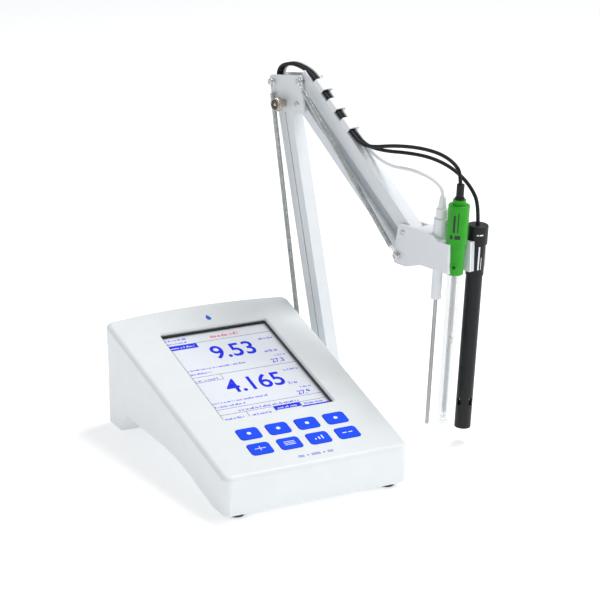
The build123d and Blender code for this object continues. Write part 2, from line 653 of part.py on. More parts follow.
def ph_cap():
    """Green cap of the pH electrode: neck, wide grip and the narrower part held by the clip."""
    wide = up(PH_CAP_R, PH_SHOULDER, 43.0)
    wide = fillet(wide.edges().group_by(Axis.Z)[-1], 0.8)
    body = wide + up(PH_CAP_R - 3.2, 42.0, 47.0) + up(PH_LOW_R, PH_CAP_LOW, PH_SHOULDER + 1)
    facing = Rot(0, 0, RING_ANGLE) * Pos(0, 0, -6.0) * Rot(0, 90, 0)
    ring = facing * Pos(0, 0, PH_LOW_R - 1.0) * Cylinder(2.6, 3.0)
    body += ring
    body -= facing * Pos(0, 0, PH_LOW_R + 0.5) * Cylinder(1.3, 3.0)
    body -= up(GLASS_R + 0.05, PH_CAP_LOW - 1, 6.0)
    body -= up(1.6, 5.0, 60.0)
    return in_arm(leaned(body, PH_H, 0))


def ph_relief():
    """Black strain relief on the green cap."""
    body = up(3.0, 47.0, 59.0) + up(3.7, 47.0, 48.6)
    body -= up(CORD_R + 0.02, 46.0, 60.0)
    return in_arm(leaned(body, PH_H, 0))


def ph_glass():
    """Outer glass tube with its rounded end and sensing bulb."""
    tube = up(GLASS_R, BULB_END + 11.0, 5.5) - up(GLASS_R - 0.9, BULB_END + 12.0, 6.5)
    tube -= up(2.3, BULB_END, BULB_END + 13.0)
    neck = up(2.8, BULB_END + 7.0, BULB_END + 12.0) - up(2.2, BULB_END, BULB_END + 13.0)
    bulb = Pos(0, 0, BULB_END + 4.6) * Sphere(4.6) - Pos(0, 0, BULB_END + 4.6) * Sphere(4.1)
    bulb -= up(2.2, BULB_END + 6.0, BULB_END + 12.0)
    return in_arm(leaned(tube + neck + bulb, PH_H, 0))


def ph_core():
    """Inner glass tube with the reference wire."""
    tube = up(2.0, BULB_END + 13.5, 4.5) - up(1.5, BULB_END + 12.0, 6.0)
    wire = up(0.4, BULB_END + 9.0, 4.5)
    return in_arm(leaned(group([tube, wire]), PH_H, 0))


def ec_cap():
    """Black cap of the conductivity probe: a wide grip over the narrower part held by the clip."""
    body = up(EC_CAP_R, EC_SHOULDER, 23.5)
    body = fillet(body.edges().group_by(Axis.Z)[-1], 0.8)
    body += up(EC_LOW_R, -17.0, EC_SHOULDER + 1)
    body -= up(CORD_R + 0.02, 5.0, 24.0)
    return in_arm(leaned(body, EC_H, EC_LAT))


def ec_stem():
    """Black tube with the measuring chamber's slots near its end."""
    body = up(EC_STEM_R, -147.0, -17.0)
    body -= up(4.4, -148.0, -112.0)
    for angle in (0, 90):
        body -= Rot(0, 0, angle) * Pos(0, 0, -124.0) * Box(3.0, 20.0, 6.0)
    return in_arm(leaned(body, EC_H, EC_LAT))


def temp_handle():
    """White handle of the temperature probe: strain relief, collar, ribbed grip and lower sleeve."""
    body = up(WHITE_R - 0.1, -12.0, 28.0) + up(4.6, 28.0, 36.0)
    relief = Pos(0, 0, 36.0) * Cone(3.6, 2.4, 9.5, align=(Align.CENTER, Align.CENTER, Align.MIN))
    body += relief
    for i in range(12):
        groove = Rot(0, 0, 30 * i) * Pos(WHITE_R + 0.1, 0, 22.5) * Box(1.0, 0.8, 11.0)
        body -= groove
    body += up(4.2, -38.0, -12.0)
    body -= up(CORD_R + 0.02, 20.0, 60.0)
    body -= up(1.6, -39.0, -20.0)
    return in_arm(leaned(body, WHITE_H, 0))


def temp_stem():
    body = up(1.6, -146.0, -20.0)
    body = fillet(body.edges().group_by(Axis.Z)[0], 1.2)
    return in_arm(leaned(body, WHITE_H, 0))


# ---------------------------------------------------------------- plugs
def plug_ph():
    """Bayonet plug on the pH socket with its strain relief."""
    y = PANEL_BACK + 1.6
    body = rod_y(BNC_X, y, y + 14, SOCKET_Z, 7.2) - rod_y(BNC_X, y - 1, y + 12.5, SOCKET_Z, 5.9)
    body += rod_y(BNC_X, y + 13, y + 28, SOCKET_Z, 5.0) + rod_y(BNC_X, y + 28, y + 40, SOCKET_Z, 3.2)
    return body - rod_y(BNC_X, y + 30, y + 41, SOCKET_Z, CORD_R + 0.02)


def plug_ec():
    y = PANEL_BACK + 2.2
    body = rod_y(DIN_X, y, y + 24, SOCKET_Z, 8.0) + rod_y(DIN_X, y - 5.2, y, SOCKET_Z, 5.4)
    body += rod_y(DIN_X, y + 24, y + 39.4, SOCKET_Z, 3.4)
    return body - rod_y(DIN_X, y + 30, y + 41, SOCKET_Z, CORD_R + 0.02)


def plug_temp():
    y = PANEL_BACK + 3.2
    body = rod_y(TEMP_X, y, y + 22, SOCKET_Z, 5.2) + rod_y(TEMP_X, y - 7, y, SOCKET_Z, 1.8)
    body += rod_y(TEMP_X, y + 22, y + 38.4, SOCKET_Z, 3.0)
    return body - rod_y(TEMP_X, y + 30, y + 41, SOCKET_Z, CORD_R + 0.02)


# ---------------------------------------------------------------- cords
LANE_STEP = 4.5                  # the cords lie this far apart on the bench
CORD_Z = CORD_R + 0.6


def along_post(t, back):
    """A point inside the rear link, t mm up from its lower pivot and a little behind its middle."""
    a = radians(POST_LEAN)
    return (P1[0] - t * sin(a) - back * cos(a), P1[1] + t * cos(a) - back * sin(a))


def along_arm(s, lift):
    """A point over the arm channel, s mm down from its upper pivot."""
    a = radians(ARM_DROP)
    return (R1[0] + s * cos(a) + lift * sin(a), R1[1] - s * sin(a) + lift * cos(a))


def axis_point(h, lat, level):
    """A point on a leaning probe's axis, level mm above the head's middle."""
    a = radians(PROBE_TILT)
    return (h + level * sin(a), lat, HEAD_MID + level * cos(a))


def bench_run(start_x, i, lat):
    """Down from a plug to the bench, two flat turns nested with the other cords, and on to the arm."""
    lane_1, lane_2, lane_3 = 182 - LANE_STEP * i, 146 + LANE_STEP * i, 128 - LANE_STEP * i
    left, right = -14 - LANE_STEP * i, 78 - LANE_STEP * i
    landing = start_x + 6
    a = radians(ARM_AZIMUTH)
    corner_h = (lane_3 - ARM_Y - lat * cos(a)) / sin(a)
    return [(start_x, 157, SOCKET_Z), (start_x + 0.5, lane_1 - 8, 24),
            (landing, lane_1 - 0.5, CORD_Z + 1.5),
            ((landing + right) / 2, lane_1 + 0.4, CORD_Z), (right, lane_1, CORD_Z), (right, lane_2, CORD_Z),
            ((left + right) / 2, lane_2 - 0.4, CORD_Z), (left, lane_2, CORD_Z), (left, lane_3, CORD_Z),
            (36, lane_3 + 0.4, CORD_Z), arm_point(corner_h, lat, CORD_Z)]


def shared_run(lat):
    """Up inside the post, over the bracket and down along the arm."""
    foot = [(-38.5, 6.8), (-29.0, 13.5), (-22.0, 34.0)]
    post = [along_post(37, 0.8), along_post(85, 1.1), along_post(140, 0.6), along_post(195, 1.1),
            along_post(238, 0.8)]
    loop = [(-66.5, 266.0), (-66.0, 279.0), (-50.0, 284.5), (-32.0, 281.5)]
    arm = [along_arm(6, 9.6), along_arm(35, 9.4), along_arm(64, 9.6)]
    return [arm_point(h, lat, z) for h, z in (*foot, *post, *loop, *arm)]


# each free length from the arm to a probe, as h, lat, z
PH_DROP = ((33.0, -3.1, 231.5), (46.0, -2.8, 231.0), (70.0, -2.0, 236.5), (96.0, -1.0, 239.5),
           (118.0, -0.3, 239.0), (133.0, 0.0, 234.5), axis_point(PH_H, 0, 67), axis_point(PH_H, 0, 50))
EC_DROP = ((36.0, 0.2, 230.0), (55.0, 1.0, 229.0), (80.0, 4.0, 231.5), (101.0, 8.5, 231.0),
           (120.0, 13.5, 225.0), (134.5, 18.0, 213.0), axis_point(EC_H, EC_LAT, 38),
           axis_point(EC_H, EC_LAT, 12))
TEMP_DROP = ((*along_arm(86, 9.4),), (61.0, 217.5), (86.0, 219.5), (105.0, 218.0), (116.5, 215.0))


def cord_points(name):
    """The corner points of a cord's run, from its plug to its probe."""
    if name == "ph_cord":
        x, i, lat, first_y, drop = BNC_X, 2, -CORD_SIDE, PANEL_BACK + 31.6, PH_DROP
    elif name == "ec_cord":
        x, i, lat, first_y, drop = DIN_X, 1, 0.0, PANEL_BACK + 32.2, EC_DROP
    else:
        x, i, lat, first_y = TEMP_X, 0, CORD_SIDE, PANEL_BACK + 33.2
        sides = (CORD_SIDE, 2.4, 1.6, 0.8, 0.0)
        drop = [(h, side, z) for (h, z), side in zip(TEMP_DROP, sides)]
        drop += [axis_point(WHITE_H, 0, 50), axis_point(WHITE_H, 0, 41)]
    points = [(x, first_y, SOCKET_Z), *bench_run(x, i, lat), *shared_run(lat)]
    return points + [arm_point(*p) for p in drop]


def bends(points):
    """The arc radius at each inner point: 0.45 of the shorter run, over the tangent of half the turn."""
    found = []
    for a, b, c in zip(points, points[1:], points[2:]):
        one, two = Vector(*b) - Vector(*a), Vector(*c) - Vector(*b)
        turn = radians(one.get_angle(two))
        found.append(0.45 * min(one.length, two.length) / tan(turn / 2))
    return found


def cord(name):
    """A round tube along straight runs joined by arcs."""
    points = cord_points(name)
    radii = bends(points)
    path = FilletPolyline(*points, radius=radii)
    wire = Wire(path.edges())
    section = Plane(origin=points[0], z_dir=Vector(*points[1]) - Vector(*points[0])) * Circle(CORD_R)
    tube = sweep(section, path=wire)
    ratio = tube.volume / (pi * CORD_R ** 2 * wire.length)
    print(f"{name}: length {wire.length:.0f} mm, volume over section x length {ratio:.3f},"
          f" tightest bends {[round(r, 1) for r in sorted(radii)[:4]]} mm")
    return tube


# ---------------------------------------------------------------- write every node
def main():
    save("top_housing", top_housing())
    save("bottom_housing", bottom_housing())
    save("display_bezel", display_bezel())
    save("display_lens", display_lens())
    save("lcd_module", lcd_module())
    for name, (u, v) in zip(KEY_NAMES, key_centres()):
        save(name, key_cap(u, v))
    save("key_mat", key_mat())
    save("keypad_board", keypad_board())
    save("main_board", main_board())
    save("board_screws", board_screws())
    save("rear_panel", rear_panel())
    save("bnc_socket", bnc_socket())
    save("din_socket", din_socket())
    save("temp_socket", temp_socket())
    save("dc_jack", dc_jack())
    save("usb_socket", usb_socket())
    save("power_switch", power_switch())
    save("power_rocker", power_rocker())
    save("rubber_feet", feet())
    save("housing_screws", housing_screws())
    save("base_plate", base_plate())
    save("base_screws", base_screws())
    save("arm_base", arm_base())
    save("base_pivots", base_pivots())
    save("post_rear_link", post_rear_link())
    save("post_front_link", post_front_link())
    save("post_springs", spring_pair(SPRING_FOOT, SPRING_TOP))
    save("bracket_near_plate", bracket_plate(-1))
    save("bracket_far_plate", bracket_plate(1))
    save("bracket_pivots", bracket_pivots())
    save("tension_knob", tension_knob())
    save("arm_channel", arm_channel())
    save("arm_lower_link", arm_lower_link())
    save("arm_springs", spring_pair(S2, R1))
    save("cable_clips", cable_clips())
    save("holder_head", holder_head())
    save("head_pivots", head_pivots())
    save("ph_cap", ph_cap())
    save("ph_relief", ph_relief())
    save("ph_glass", ph_glass())
    save("ph_core", ph_core())
    save("ec_cap", ec_cap())
    save("ec_stem", ec_stem())
    save("temp_handle", temp_handle())
    save("temp_stem", temp_stem())
    save("plug_ph", plug_ph())
    save("plug_ec", plug_ec())
    save("plug_temp", plug_temp())
    for name in ("ph_cord", "ec_cord", "temp_cord"):
        save(name, cord(name))


KEY_NAMES = ("key_soft_1", "key_soft_2", "key_soft_3", "key_soft_4",
             "key_cal", "key_mode", "key_setup", "key_help")
main()
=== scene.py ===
import bpy
import random
from math import atan, cos, pi, radians, sin, sqrt
from mathutils import Matrix, Vector

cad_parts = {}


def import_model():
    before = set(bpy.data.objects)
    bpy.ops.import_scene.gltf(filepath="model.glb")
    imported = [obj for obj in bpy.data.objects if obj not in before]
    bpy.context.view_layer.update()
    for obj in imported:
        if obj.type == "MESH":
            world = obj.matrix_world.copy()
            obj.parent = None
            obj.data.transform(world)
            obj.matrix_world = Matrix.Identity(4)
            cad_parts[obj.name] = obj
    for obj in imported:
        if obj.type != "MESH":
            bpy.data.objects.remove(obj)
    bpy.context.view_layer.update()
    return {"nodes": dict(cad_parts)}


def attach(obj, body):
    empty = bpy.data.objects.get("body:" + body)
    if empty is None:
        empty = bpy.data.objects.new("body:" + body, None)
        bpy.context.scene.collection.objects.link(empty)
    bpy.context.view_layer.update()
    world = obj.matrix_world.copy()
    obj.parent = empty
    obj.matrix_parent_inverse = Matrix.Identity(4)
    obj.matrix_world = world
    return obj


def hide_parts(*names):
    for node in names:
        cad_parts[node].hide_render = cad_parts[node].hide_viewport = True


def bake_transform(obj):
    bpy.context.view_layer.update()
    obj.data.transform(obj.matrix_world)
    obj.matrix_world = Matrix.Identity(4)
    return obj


# A bench pH meter with a sprung electrode arm and three corded probes.
# The frame is in metres. Sizes are in millimetres and go through MM, but the lights and floor are in metres.
# Places are given from the middle of the meter; ORIGIN is where the frame's own origin lies from there.
MM = 0.001
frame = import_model()
nodes = frame["nodes"]
scene = bpy.context.scene

# ---------------------------------------------------------------- sizes shared with the CAD model
FRONT_Y = -115.5
FRONT_TOP = 34.0
SLOPE = 0.2393
PANEL_X = 1.5
PANEL_BACK = 102.0
SOCKET_Z = 45.0
BNC_X, DIN_X, TEMP_X = 25.0, -5.0, -35.0
KEY_PITCH = 24.4
KEY_ROWS = (49.2, 28.8)
SCREEN_V = 136.0
SCREEN = (91.5, 125.5)

ARM_X, ARM_Y = 106.0, 66.0
ARM_AZIMUTH = -74.7
PIN_H = -8.0                     # the pin that the arm swivels on, over the frame's origin
ORIGIN = (ARM_X + PIN_H * cos(radians(ARM_AZIMUTH)), ARM_Y + PIN_H * sin(radians(ARM_AZIMUTH)))
POST_LENGTH, POST_LEAN = 235.4, 12.9
ARM_LENGTH, ARM_DROP = 157.3, 39.95
P1 = (-8.6, 22.0)
Q1 = (P1[0] - POST_LENGTH * sin(radians(POST_LEAN)), P1[1] + POST_LENGTH * cos(radians(POST_LEAN)))
Q2 = (Q1[0] + 8.8, Q1[1])
R1, R2 = (-32.2, 272.1), (-36.9, 252.5)
S1 = (R1[0] + ARM_LENGTH * cos(radians(ARM_DROP)), R1[1] - ARM_LENGTH * sin(radians(ARM_DROP)))
S2 = (S1[0] + R2[0] - R1[0], S1[1] + R2[1] - R1[1])
SPRING_TOP, SPRING_FOOT = (-65.9, 267.1), (-25.0, 24.0)
SPRING_LAT = 11.6
PLATE_OUT = 8.8                  # outer face of the bracket plates
HEAD_OUT = 9.2                   # outer face of the electrode holder's cheeks
HEAD_MID = 160.0
PROBE_TILT = 3.6
PH_H, WHITE_H, EC_H, EC_LAT = 137.2, 119.6, 140.0, 20.0
RING_ANGLE = -53.0               # the green cap's small socket faces this way round its axis
CORD_R = 1.5
CORD_SIDE = 3.1
CORD_Z = CORD_R + 0.6
LANE_STEP = 4.5


# ---------------------------------------------------------------- places
def arm(h, lat, z):
    """A point in arm axes: h forwards, lat to the far side, z up."""
    a = radians(ARM_AZIMUTH)
    return world(ARM_X + h * cos(a) - lat * sin(a), ARM_Y + h * sin(a) + lat * cos(a), z)


def world(x, y, z):
    """A point given from the middle of the meter, in the frame."""
    return Vector((x - ORIGIN[0], y - ORIGIN[1], z)) * MM


def face_frame():
    """From face axes (across, up the slope, outwards) to the meter's own, in metres."""
    return Matrix.Translation(world(PANEL_X, FRONT_Y, FRONT_TOP)) @ Matrix.Rotation(atan(SLOPE), 4, "X")


def on_face(u, v, w):
    return face_frame() @ (Vector((u, v, w)) * MM)


def along_post(t, back):
    a = radians(POST_LEAN)
    return (P1[0] - t * sin(a) - back * cos(a), P1[1] + t * cos(a) - back * sin(a))


def along_arm(s, lift):
    a = radians(ARM_DROP)
    return (R1[0] + s * cos(a) + lift * sin(a), R1[1] - s * sin(a) + lift * cos(a))


def beside(point, lat):
    """A point (h, z) of the arm's side view, as a place in the frame at lat."""
    return arm(point[0], lat, point[1])


def axis_point(h, lat, level):
    """A point on a leaning probe's axis, level mm above the holder's middle."""
    a = radians(PROBE_TILT)
    return (h + level * sin(a), lat, HEAD_MID + level * cos(a))


# ---------------------------------------------------------------- camera, light and floor
CAMERA_PLACE = (-623.45, -1335.58, 608.58)
CAMERA_AZIMUTH, CAMERA_DROP, CAMERA_ROLL = -26.462, 18.12, 0.074
LENS = 120.0


def camera():
    az, drop, roll = radians(CAMERA_AZIMUTH), radians(CAMERA_DROP), radians(CAMERA_ROLL)
    look = Vector((-sin(az) * cos(drop), cos(az) * cos(drop), -sin(drop)))
    level = look.cross(Vector((0, 0, 1))).normalized()
    upright = level.cross(look)
    right = cos(roll) * level + sin(roll) * upright
    up = cos(roll) * upright - sin(roll) * level
    data = bpy.data.cameras.new("camera")
    data.lens = LENS
    data.sensor_width = 36.0
    data.clip_end = 20.0
    obj = bpy.data.objects.new("camera", data)
    turn = Matrix((right, up, -look)).transposed().to_4x4()
    obj.matrix_world = Matrix.Translation(world(*CAMERA_PLACE)) @ turn
    scene.collection.objects.link(obj)
    scene.camera = obj


def area_light(name, place, target, size, power):
    data = bpy.data.lights.new(name, "AREA")
    data.shape = "DISK"
    data.size = size
    data.energy = power
    obj = bpy.data.objects.new(name, data)
    obj.location = place
    obj.rotation_euler = (Vector(target) - Vector(place)).to_track_quat("-Z", "Y").to_euler()
    scene.collection.objects.link(obj)


def studio():
    """A pale floor, an even bright surround and two soft lights."""
    surround = bpy.data.worlds.new("surround")
    surround.use_nodes = True
    surround.node_tree.nodes["Background"].inputs["Color"].default_value = (0.975, 0.99, 1.0, 1)
    surround.node_tree.nodes["Background"].inputs["Strength"].default_value = 0.56
    scene.world = surround
    scene.view_settings.view_transform = "Standard"
    area_light("key_light", (0.7, 0.1, 1.9), (0, 0, 0.1), 0.8, 19)
    area_light("side_light", (1.3, -1.3, 0.9), (0, 0, 0.1), 0.8, 8)
    corners = [(-4, -4, 0), (4, -4, 0), (4, 4, 0), (-4, 4, 0)]
    floor = mesh_object("floor", corners, [(0, 1, 2, 3)], floor_finish())


# ---------------------------------------------------------------- materials
def finish(name, color, roughness, metallic=0.0, tint=0.04, grain=1800.0, bump=0.05, stretch=(1, 1, 1),
           depth=0.02, rough_range=0.08, specular=0.5, mottle=60.0):
    """A moulded, coated or metal surface: slow colour variation, uneven gloss and a fine grain."""
    made = bpy.data.materials.new(name)
    made.use_nodes = True
    tree = made.node_tree
    shader = tree.nodes["Principled BSDF"]
    shader.inputs["Metallic"].default_value = metallic
    shader.inputs["Specular IOR Level"].default_value = specular
    place = tree.nodes.new("ShaderNodeTexCoord")
    scaled = tree.nodes.new("ShaderNodeMapping")
    scaled.inputs["Scale"].default_value = stretch
    tree.links.new(place.outputs["Object"], scaled.inputs["Vector"])

    slow = tree.nodes.new("ShaderNodeTexNoise")
    slow.inputs["Scale"].default_value = mottle
    slow.inputs["Detail"].default_value = 5.0
    tree.links.new(place.outputs["Object"], slow.inputs["Vector"])
    ramp = tree.nodes.new("ShaderNodeValToRGB")
    ramp.color_ramp.elements[0].position = 0.35
    ramp.color_ramp.elements[1].position = 0.65
    ramp.color_ramp.elements[0].color = (*[c * (1 - tint) for c in color], 1)
    ramp.color_ramp.elements[1].color = (*[min(1.0, c * (1 + tint)) for c in color], 1)
    tree.links.new(slow.outputs["Fac"], ramp.inputs["Fac"])
    tree.links.new(ramp.outputs["Color"], shader.inputs["Base Color"])

    fine = tree.nodes.new("ShaderNodeTexNoise")
    fine.inputs["Scale"].default_value = grain
    fine.inputs["Detail"].default_value = 3.0
    tree.links.new(scaled.outputs["Vector"], fine.inputs["Vector"])
    gloss = tree.nodes.new("ShaderNodeMapRange")
    gloss.inputs["To Min"].default_value = max(0.02, roughness - rough_range)
    gloss.inputs["To Max"].default_value = min(1.0, roughness + rough_range)
    tree.links.new(fine.outputs["Fac"], gloss.inputs["Value"])
    tree.links.new(gloss.outputs["Result"], shader.inputs["Roughness"])
    relief = tree.nodes.new("ShaderNodeBump")
    relief.inputs["Strength"].default_value = bump
    relief.inputs["Distance"].default_value = depth * MM
    tree.links.new(fine.outputs["Fac"], relief.inputs["Height"])
    tree.links.new(relief.outputs["Normal"], shader.inputs["Normal"])
    return made


def clear_finish(name, color, alpha, roughness=0.03):
    """A clear window: mostly see-through, with a glossy surface and faint smears."""
    made = finish(name, color, roughness, tint=0.02, grain=90.0, bump=0.01, rough_range=0.02)
    made.node_tree.nodes["Principled BSDF"].inputs["Alpha"].default_value = alpha
    made.surface_render_method = "BLENDED"
    return made


def knurl_finish(name, color):
    """Bright metal with two crossing sets of fine cuts."""
    made = finish(name, color, 0.3, metallic=1.0, tint=0.08, bump=0.1)
    tree = made.node_tree
    place = tree.nodes["Texture Coordinate"]
    cuts = tree.nodes.new("ShaderNodeTexVoronoi")
    cuts.inputs["Scale"].default_value = 1500.0
    tree.links.new(place.outputs["Object"], cuts.inputs["Vector"])
    extra = tree.nodes.new("ShaderNodeBump")
    extra.inputs["Strength"].default_value = 0.5
    extra.inputs["Distance"].default_value = 0.15 * MM
    tree.links.new(cuts.outputs["Distance"], extra.inputs["Height"])
    tree.links.new(tree.nodes["Bump"].outputs["Normal"], extra.inputs["Normal"])
    tree.links.new(extra.outputs["Normal"], tree.nodes["Principled BSDF"].inputs["Normal"])
    return made


def lit_finish(name, color, strength):
    """A display surface: a faint dot grid over an evenly lit ground."""
    made = finish(name, color, 0.5, specular=0.1, tint=0.01, grain=3000.0, bump=0.02)
    tree = made.node_tree
    shader = tree.nodes["Principled BSDF"]
    grid = tree.nodes.new("ShaderNodeTexBrick")
    grid.inputs["Scale"].default_value = 900.0
    grid.inputs["Mortar Size"].default_value = 0.03
    grid.inputs["Color1"].default_value = (*color, 1)
    grid.inputs["Color2"].default_value = (*color, 1)
    grid.inputs["Mortar"].default_value = (*[c * 0.86 for c in color], 1)
    tree.links.new(tree.nodes["Texture Coordinate"].outputs["Object"], grid.inputs["Vector"])
    tree.links.new(grid.outputs["Color"], shader.inputs["Emission Color"])
    shader.inputs["Emission Strength"].default_value = strength
    return made


def floor_finish():
    made = finish("floor_paper", (0.95, 0.955, 0.96), 0.9, tint=0.004, grain=300.0, bump=0.02, mottle=2.0)
    shader = made.node_tree.nodes["Principled BSDF"]
    shader.inputs["Emission Color"].default_value = (1, 1, 1, 1)
    shader.inputs["Emission Strength"].default_value = 0.31
    shader.inputs["Specular IOR Level"].default_value = 0.1
    return made


def all_finishes():
    return {
        "shell": finish("shell_white", (0.83, 0.86, 0.875), 0.42, tint=0.012, bump=0.12, grain=2600.0),
        "bezel": finish("bezel_black", (0.012, 0.014, 0.016), 0.3, bump=0.05, mottle=200.0),
        "lens": clear_finish("lens_clear", (0.05, 0.06, 0.07), 0.05),
        "module": finish("module_metal", (0.55, 0.56, 0.58), 0.35, metallic=0.8, stretch=(1, 30, 1)),
        "key": finish("key_blue", (0.003, 0.075, 0.95), 0.55, specular=0.15, tint=0.05, bump=0.1,
                      grain=2400.0),
        "key_print": finish("key_print", (0.9, 0.92, 0.95), 0.5, tint=0.02),
        "rubber": finish("rubber_grey", (0.25, 0.26, 0.28), 0.7, bump=0.2, grain=1400.0),
        "board": finish("board_green", (0.02, 0.16, 0.06), 0.35, tint=0.25, bump=0.25,
                        grain=500.0, mottle=400.0),
        "screw": finish("screw_zinc", (0.68, 0.68, 0.67), 0.24, metallic=1.0, tint=0.1,
                        bump=0.1, mottle=500.0),
        "panel": finish("panel_grey", (0.32, 0.34, 0.36), 0.6, bump=0.3, grain=2200.0, depth=0.04),
        "nickel": finish("socket_nickel", (0.78, 0.77, 0.74), 0.2, metallic=1.0, tint=0.06, mottle=300.0),
        "black": finish("black_plastic", (0.006, 0.008, 0.010), 0.45, specular=0.3, tint=0.15,
                        bump=0.12, grain=2200.0),
        "foot": finish("foot_rubber", (0.05, 0.05, 0.055), 0.8, bump=0.3, grain=1300.0),
        "plate": finish("plate_brushed", (0.55, 0.56, 0.57), 0.33, metallic=1.0, stretch=(1, 40, 1),
                        bump=0.25, grain=500.0, tint=0.08, mottle=90.0),
        "arm": finish("arm_coat", (0.77, 0.80, 0.83), 0.36, tint=0.018, bump=0.3, grain=900.0, depth=0.04),
        "spring": finish("spring_wire", (0.60, 0.63, 0.61), 0.26, metallic=1.0, tint=0.12, mottle=200.0),
        "knob": finish("knob_nickel", (0.46, 0.42, 0.35), 0.26, metallic=1.0, tint=0.1, mottle=400.0),
        "knurl": knurl_finish("knob_knurl", (0.09, 0.09, 0.085)),
        "head": finish("head_white", (0.80, 0.825, 0.85), 0.4, tint=0.012, bump=0.14, grain=2400.0),
        "green": finish("cap_green", (0.02, 0.36, 0.008), 0.35, specular=0.3, tint=0.07,
                        bump=0.06, mottle=120.0),
        "print": finish("print_black", (0.015, 0.018, 0.02), 0.5, tint=0.1),
        "glass": clear_finish("electrode_glass", (0.74, 0.78, 0.79), 0.17, 0.05),
        "core": clear_finish("electrode_core", (0.62, 0.66, 0.67), 0.3, 0.1),
        "thread": finish("thread_pink", (0.75, 0.25, 0.24), 0.6, tint=0.15),
        "frit": finish("frit_cream", (0.75, 0.72, 0.60), 0.8, bump=0.4, grain=900.0),
        "white": finish("probe_white", (0.84, 0.86, 0.88), 0.38, tint=0.012, bump=0.08),
        "probe_steel": finish("probe_steel", (0.42, 0.42, 0.41), 0.3, metallic=1.0, stretch=(1, 1, 0.05),
                              bump=0.15, grain=2500.0, tint=0.05),
        "jacket": finish("cord_black", (0.007, 0.009, 0.011), 0.5, specular=0.3, tint=0.2,
                         bump=0.15, grain=1200.0),
        "jacket_white": finish("cord_white", (0.86, 0.88, 0.89), 0.48, tint=0.02, bump=0.12, grain=1200.0),
        "screen": lit_finish("screen_white", (0.90, 0.93, 1.0), 0.12),
        "ink_blue": lit_finish("ink_blue", (0.012, 0.025, 0.80), 0.25),
        "ink_red": lit_finish("ink_red", (0.85, 0.01, 0.07), 0.25),
        "ink_grey": lit_finish("ink_grey", (0.12, 0.13, 0.2), 0.05),
        "print_blue": finish("print_blue", (0.01, 0.1, 0.7), 0.45, tint=0.04),
    }


# ---------------------------------------------------------------- mesh helpers
def mesh_object(name, points, faces, material, smooth=False):
    mesh = bpy.data.meshes.new(name)
    mesh.from_pydata([tuple(p) for p in points], [], faces)
    mesh.materials.append(material)
    if smooth:
        mesh.polygons.foreach_set("use_smooth", [True] * len(mesh.polygons))
    mesh.update()
    obj = bpy.data.objects.new(name, mesh)
    scene.collection.objects.link(obj)
    return obj


def rings_object(name, rings, material, sharp=False):
    """Skin a row of closed rings of points, with a cap on each end."""
    count = len(rings[0])
    points = [p for ring in rings for p in ring]
    faces = []
    for i in range(len(rings) - 1):
        for j in range(count):
            k = (j + 1) % count
            faces.append((i * count + j, i * count + k, (i + 1) * count + k, (i + 1) * count + j))
    faces.append(tuple(range(count))[::-1])
    faces.append(tuple((len(rings) - 1) * count + j for j in range(count)))
    return mesh_object(name, points, faces, material, smooth=not sharp)


def tube(name, line, radius, material, sides=14):
    """A round tube along a line of points."""
    rings = []
    side = None
    for i, point in enumerate(line):
        ahead = line[min(i + 1, len(line) - 1)] - line[max(i - 1, 0)]
        ahead.normalize()
        if side is None:
            side = ahead.orthogonal()
        side = (side - side.project(ahead)).normalized()
        other = ahead.cross(side)
        turns = [2 * pi * j / sides for j in range(sides)]
        rings.append([point + radius * (cos(t) * side + sin(t) * other) for t in turns])
    return rings_object(name, rings, material)


def turned(name, profile, base, axis, material, sides=40, flutes=0, flute_depth=0.0, fluted=(0, 0)):
    """A turned piece: (radius, height) pairs along an axis from base.

    Rings fluted[0] to fluted[1] are toothed.
    """
    axis = axis.normalized()
    side = axis.orthogonal().normalized()
    other = axis.cross(side)
    rings = []
    for i, (radius, height) in enumerate(profile):
        ring = []
        for j in range(sides):
            t = 2 * pi * j / sides
            r = radius
            if flutes and fluted[0] <= i <= fluted[1]:
                r -= flute_depth * (0.5 - 0.5 * cos(t * flutes))
            ring.append(base + axis * height * MM + r * MM * (cos(t) * side + sin(t) * other))
        rings.append(ring)
    return rings_object(name, rings, material)


def screw_head(name, centre, axis, radius, height, material, turn=0.3):
    """A domed screw head with a cross recess."""
    axis = axis.normalized()
    side = axis.orthogonal().normalized()
    side.rotate(Matrix.Rotation(turn, 3, axis))
    other = axis.cross(side)
    slot, reach, sink = 0.16 * radius, 0.62 * radius, 0.55 * height
    points = []
    ring_count, sides = 14, 48
    for i in range(ring_count + 1):
        r = radius * (1 - i / (ring_count + 1))
        for j in range(sides):
            t = 2 * pi * j / sides
            x, y = r * cos(t), r * sin(t)
            level = height * sqrt(max(0.0, 1 - (r / radius) ** 2.6 * 0.85))
            in_slot = r < reach and (abs(x) < slot or abs(y) < slot)
            if in_slot:
                level -= sink
            if i == 0:
                level = 0.0
            points.append(centre + MM * (x * side + y * other + level * axis))
    faces = []
    for i in range(ring_count):
        for j in range(sides):
            k = (j + 1) % sides
            faces.append((i * sides + j, i * sides + k, (i + 1) * sides + k, (i + 1) * sides + j))
    faces.append(tuple(ring_count * sides + j for j in range(sides)))
    return mesh_object(name, points, faces, material, smooth=True)


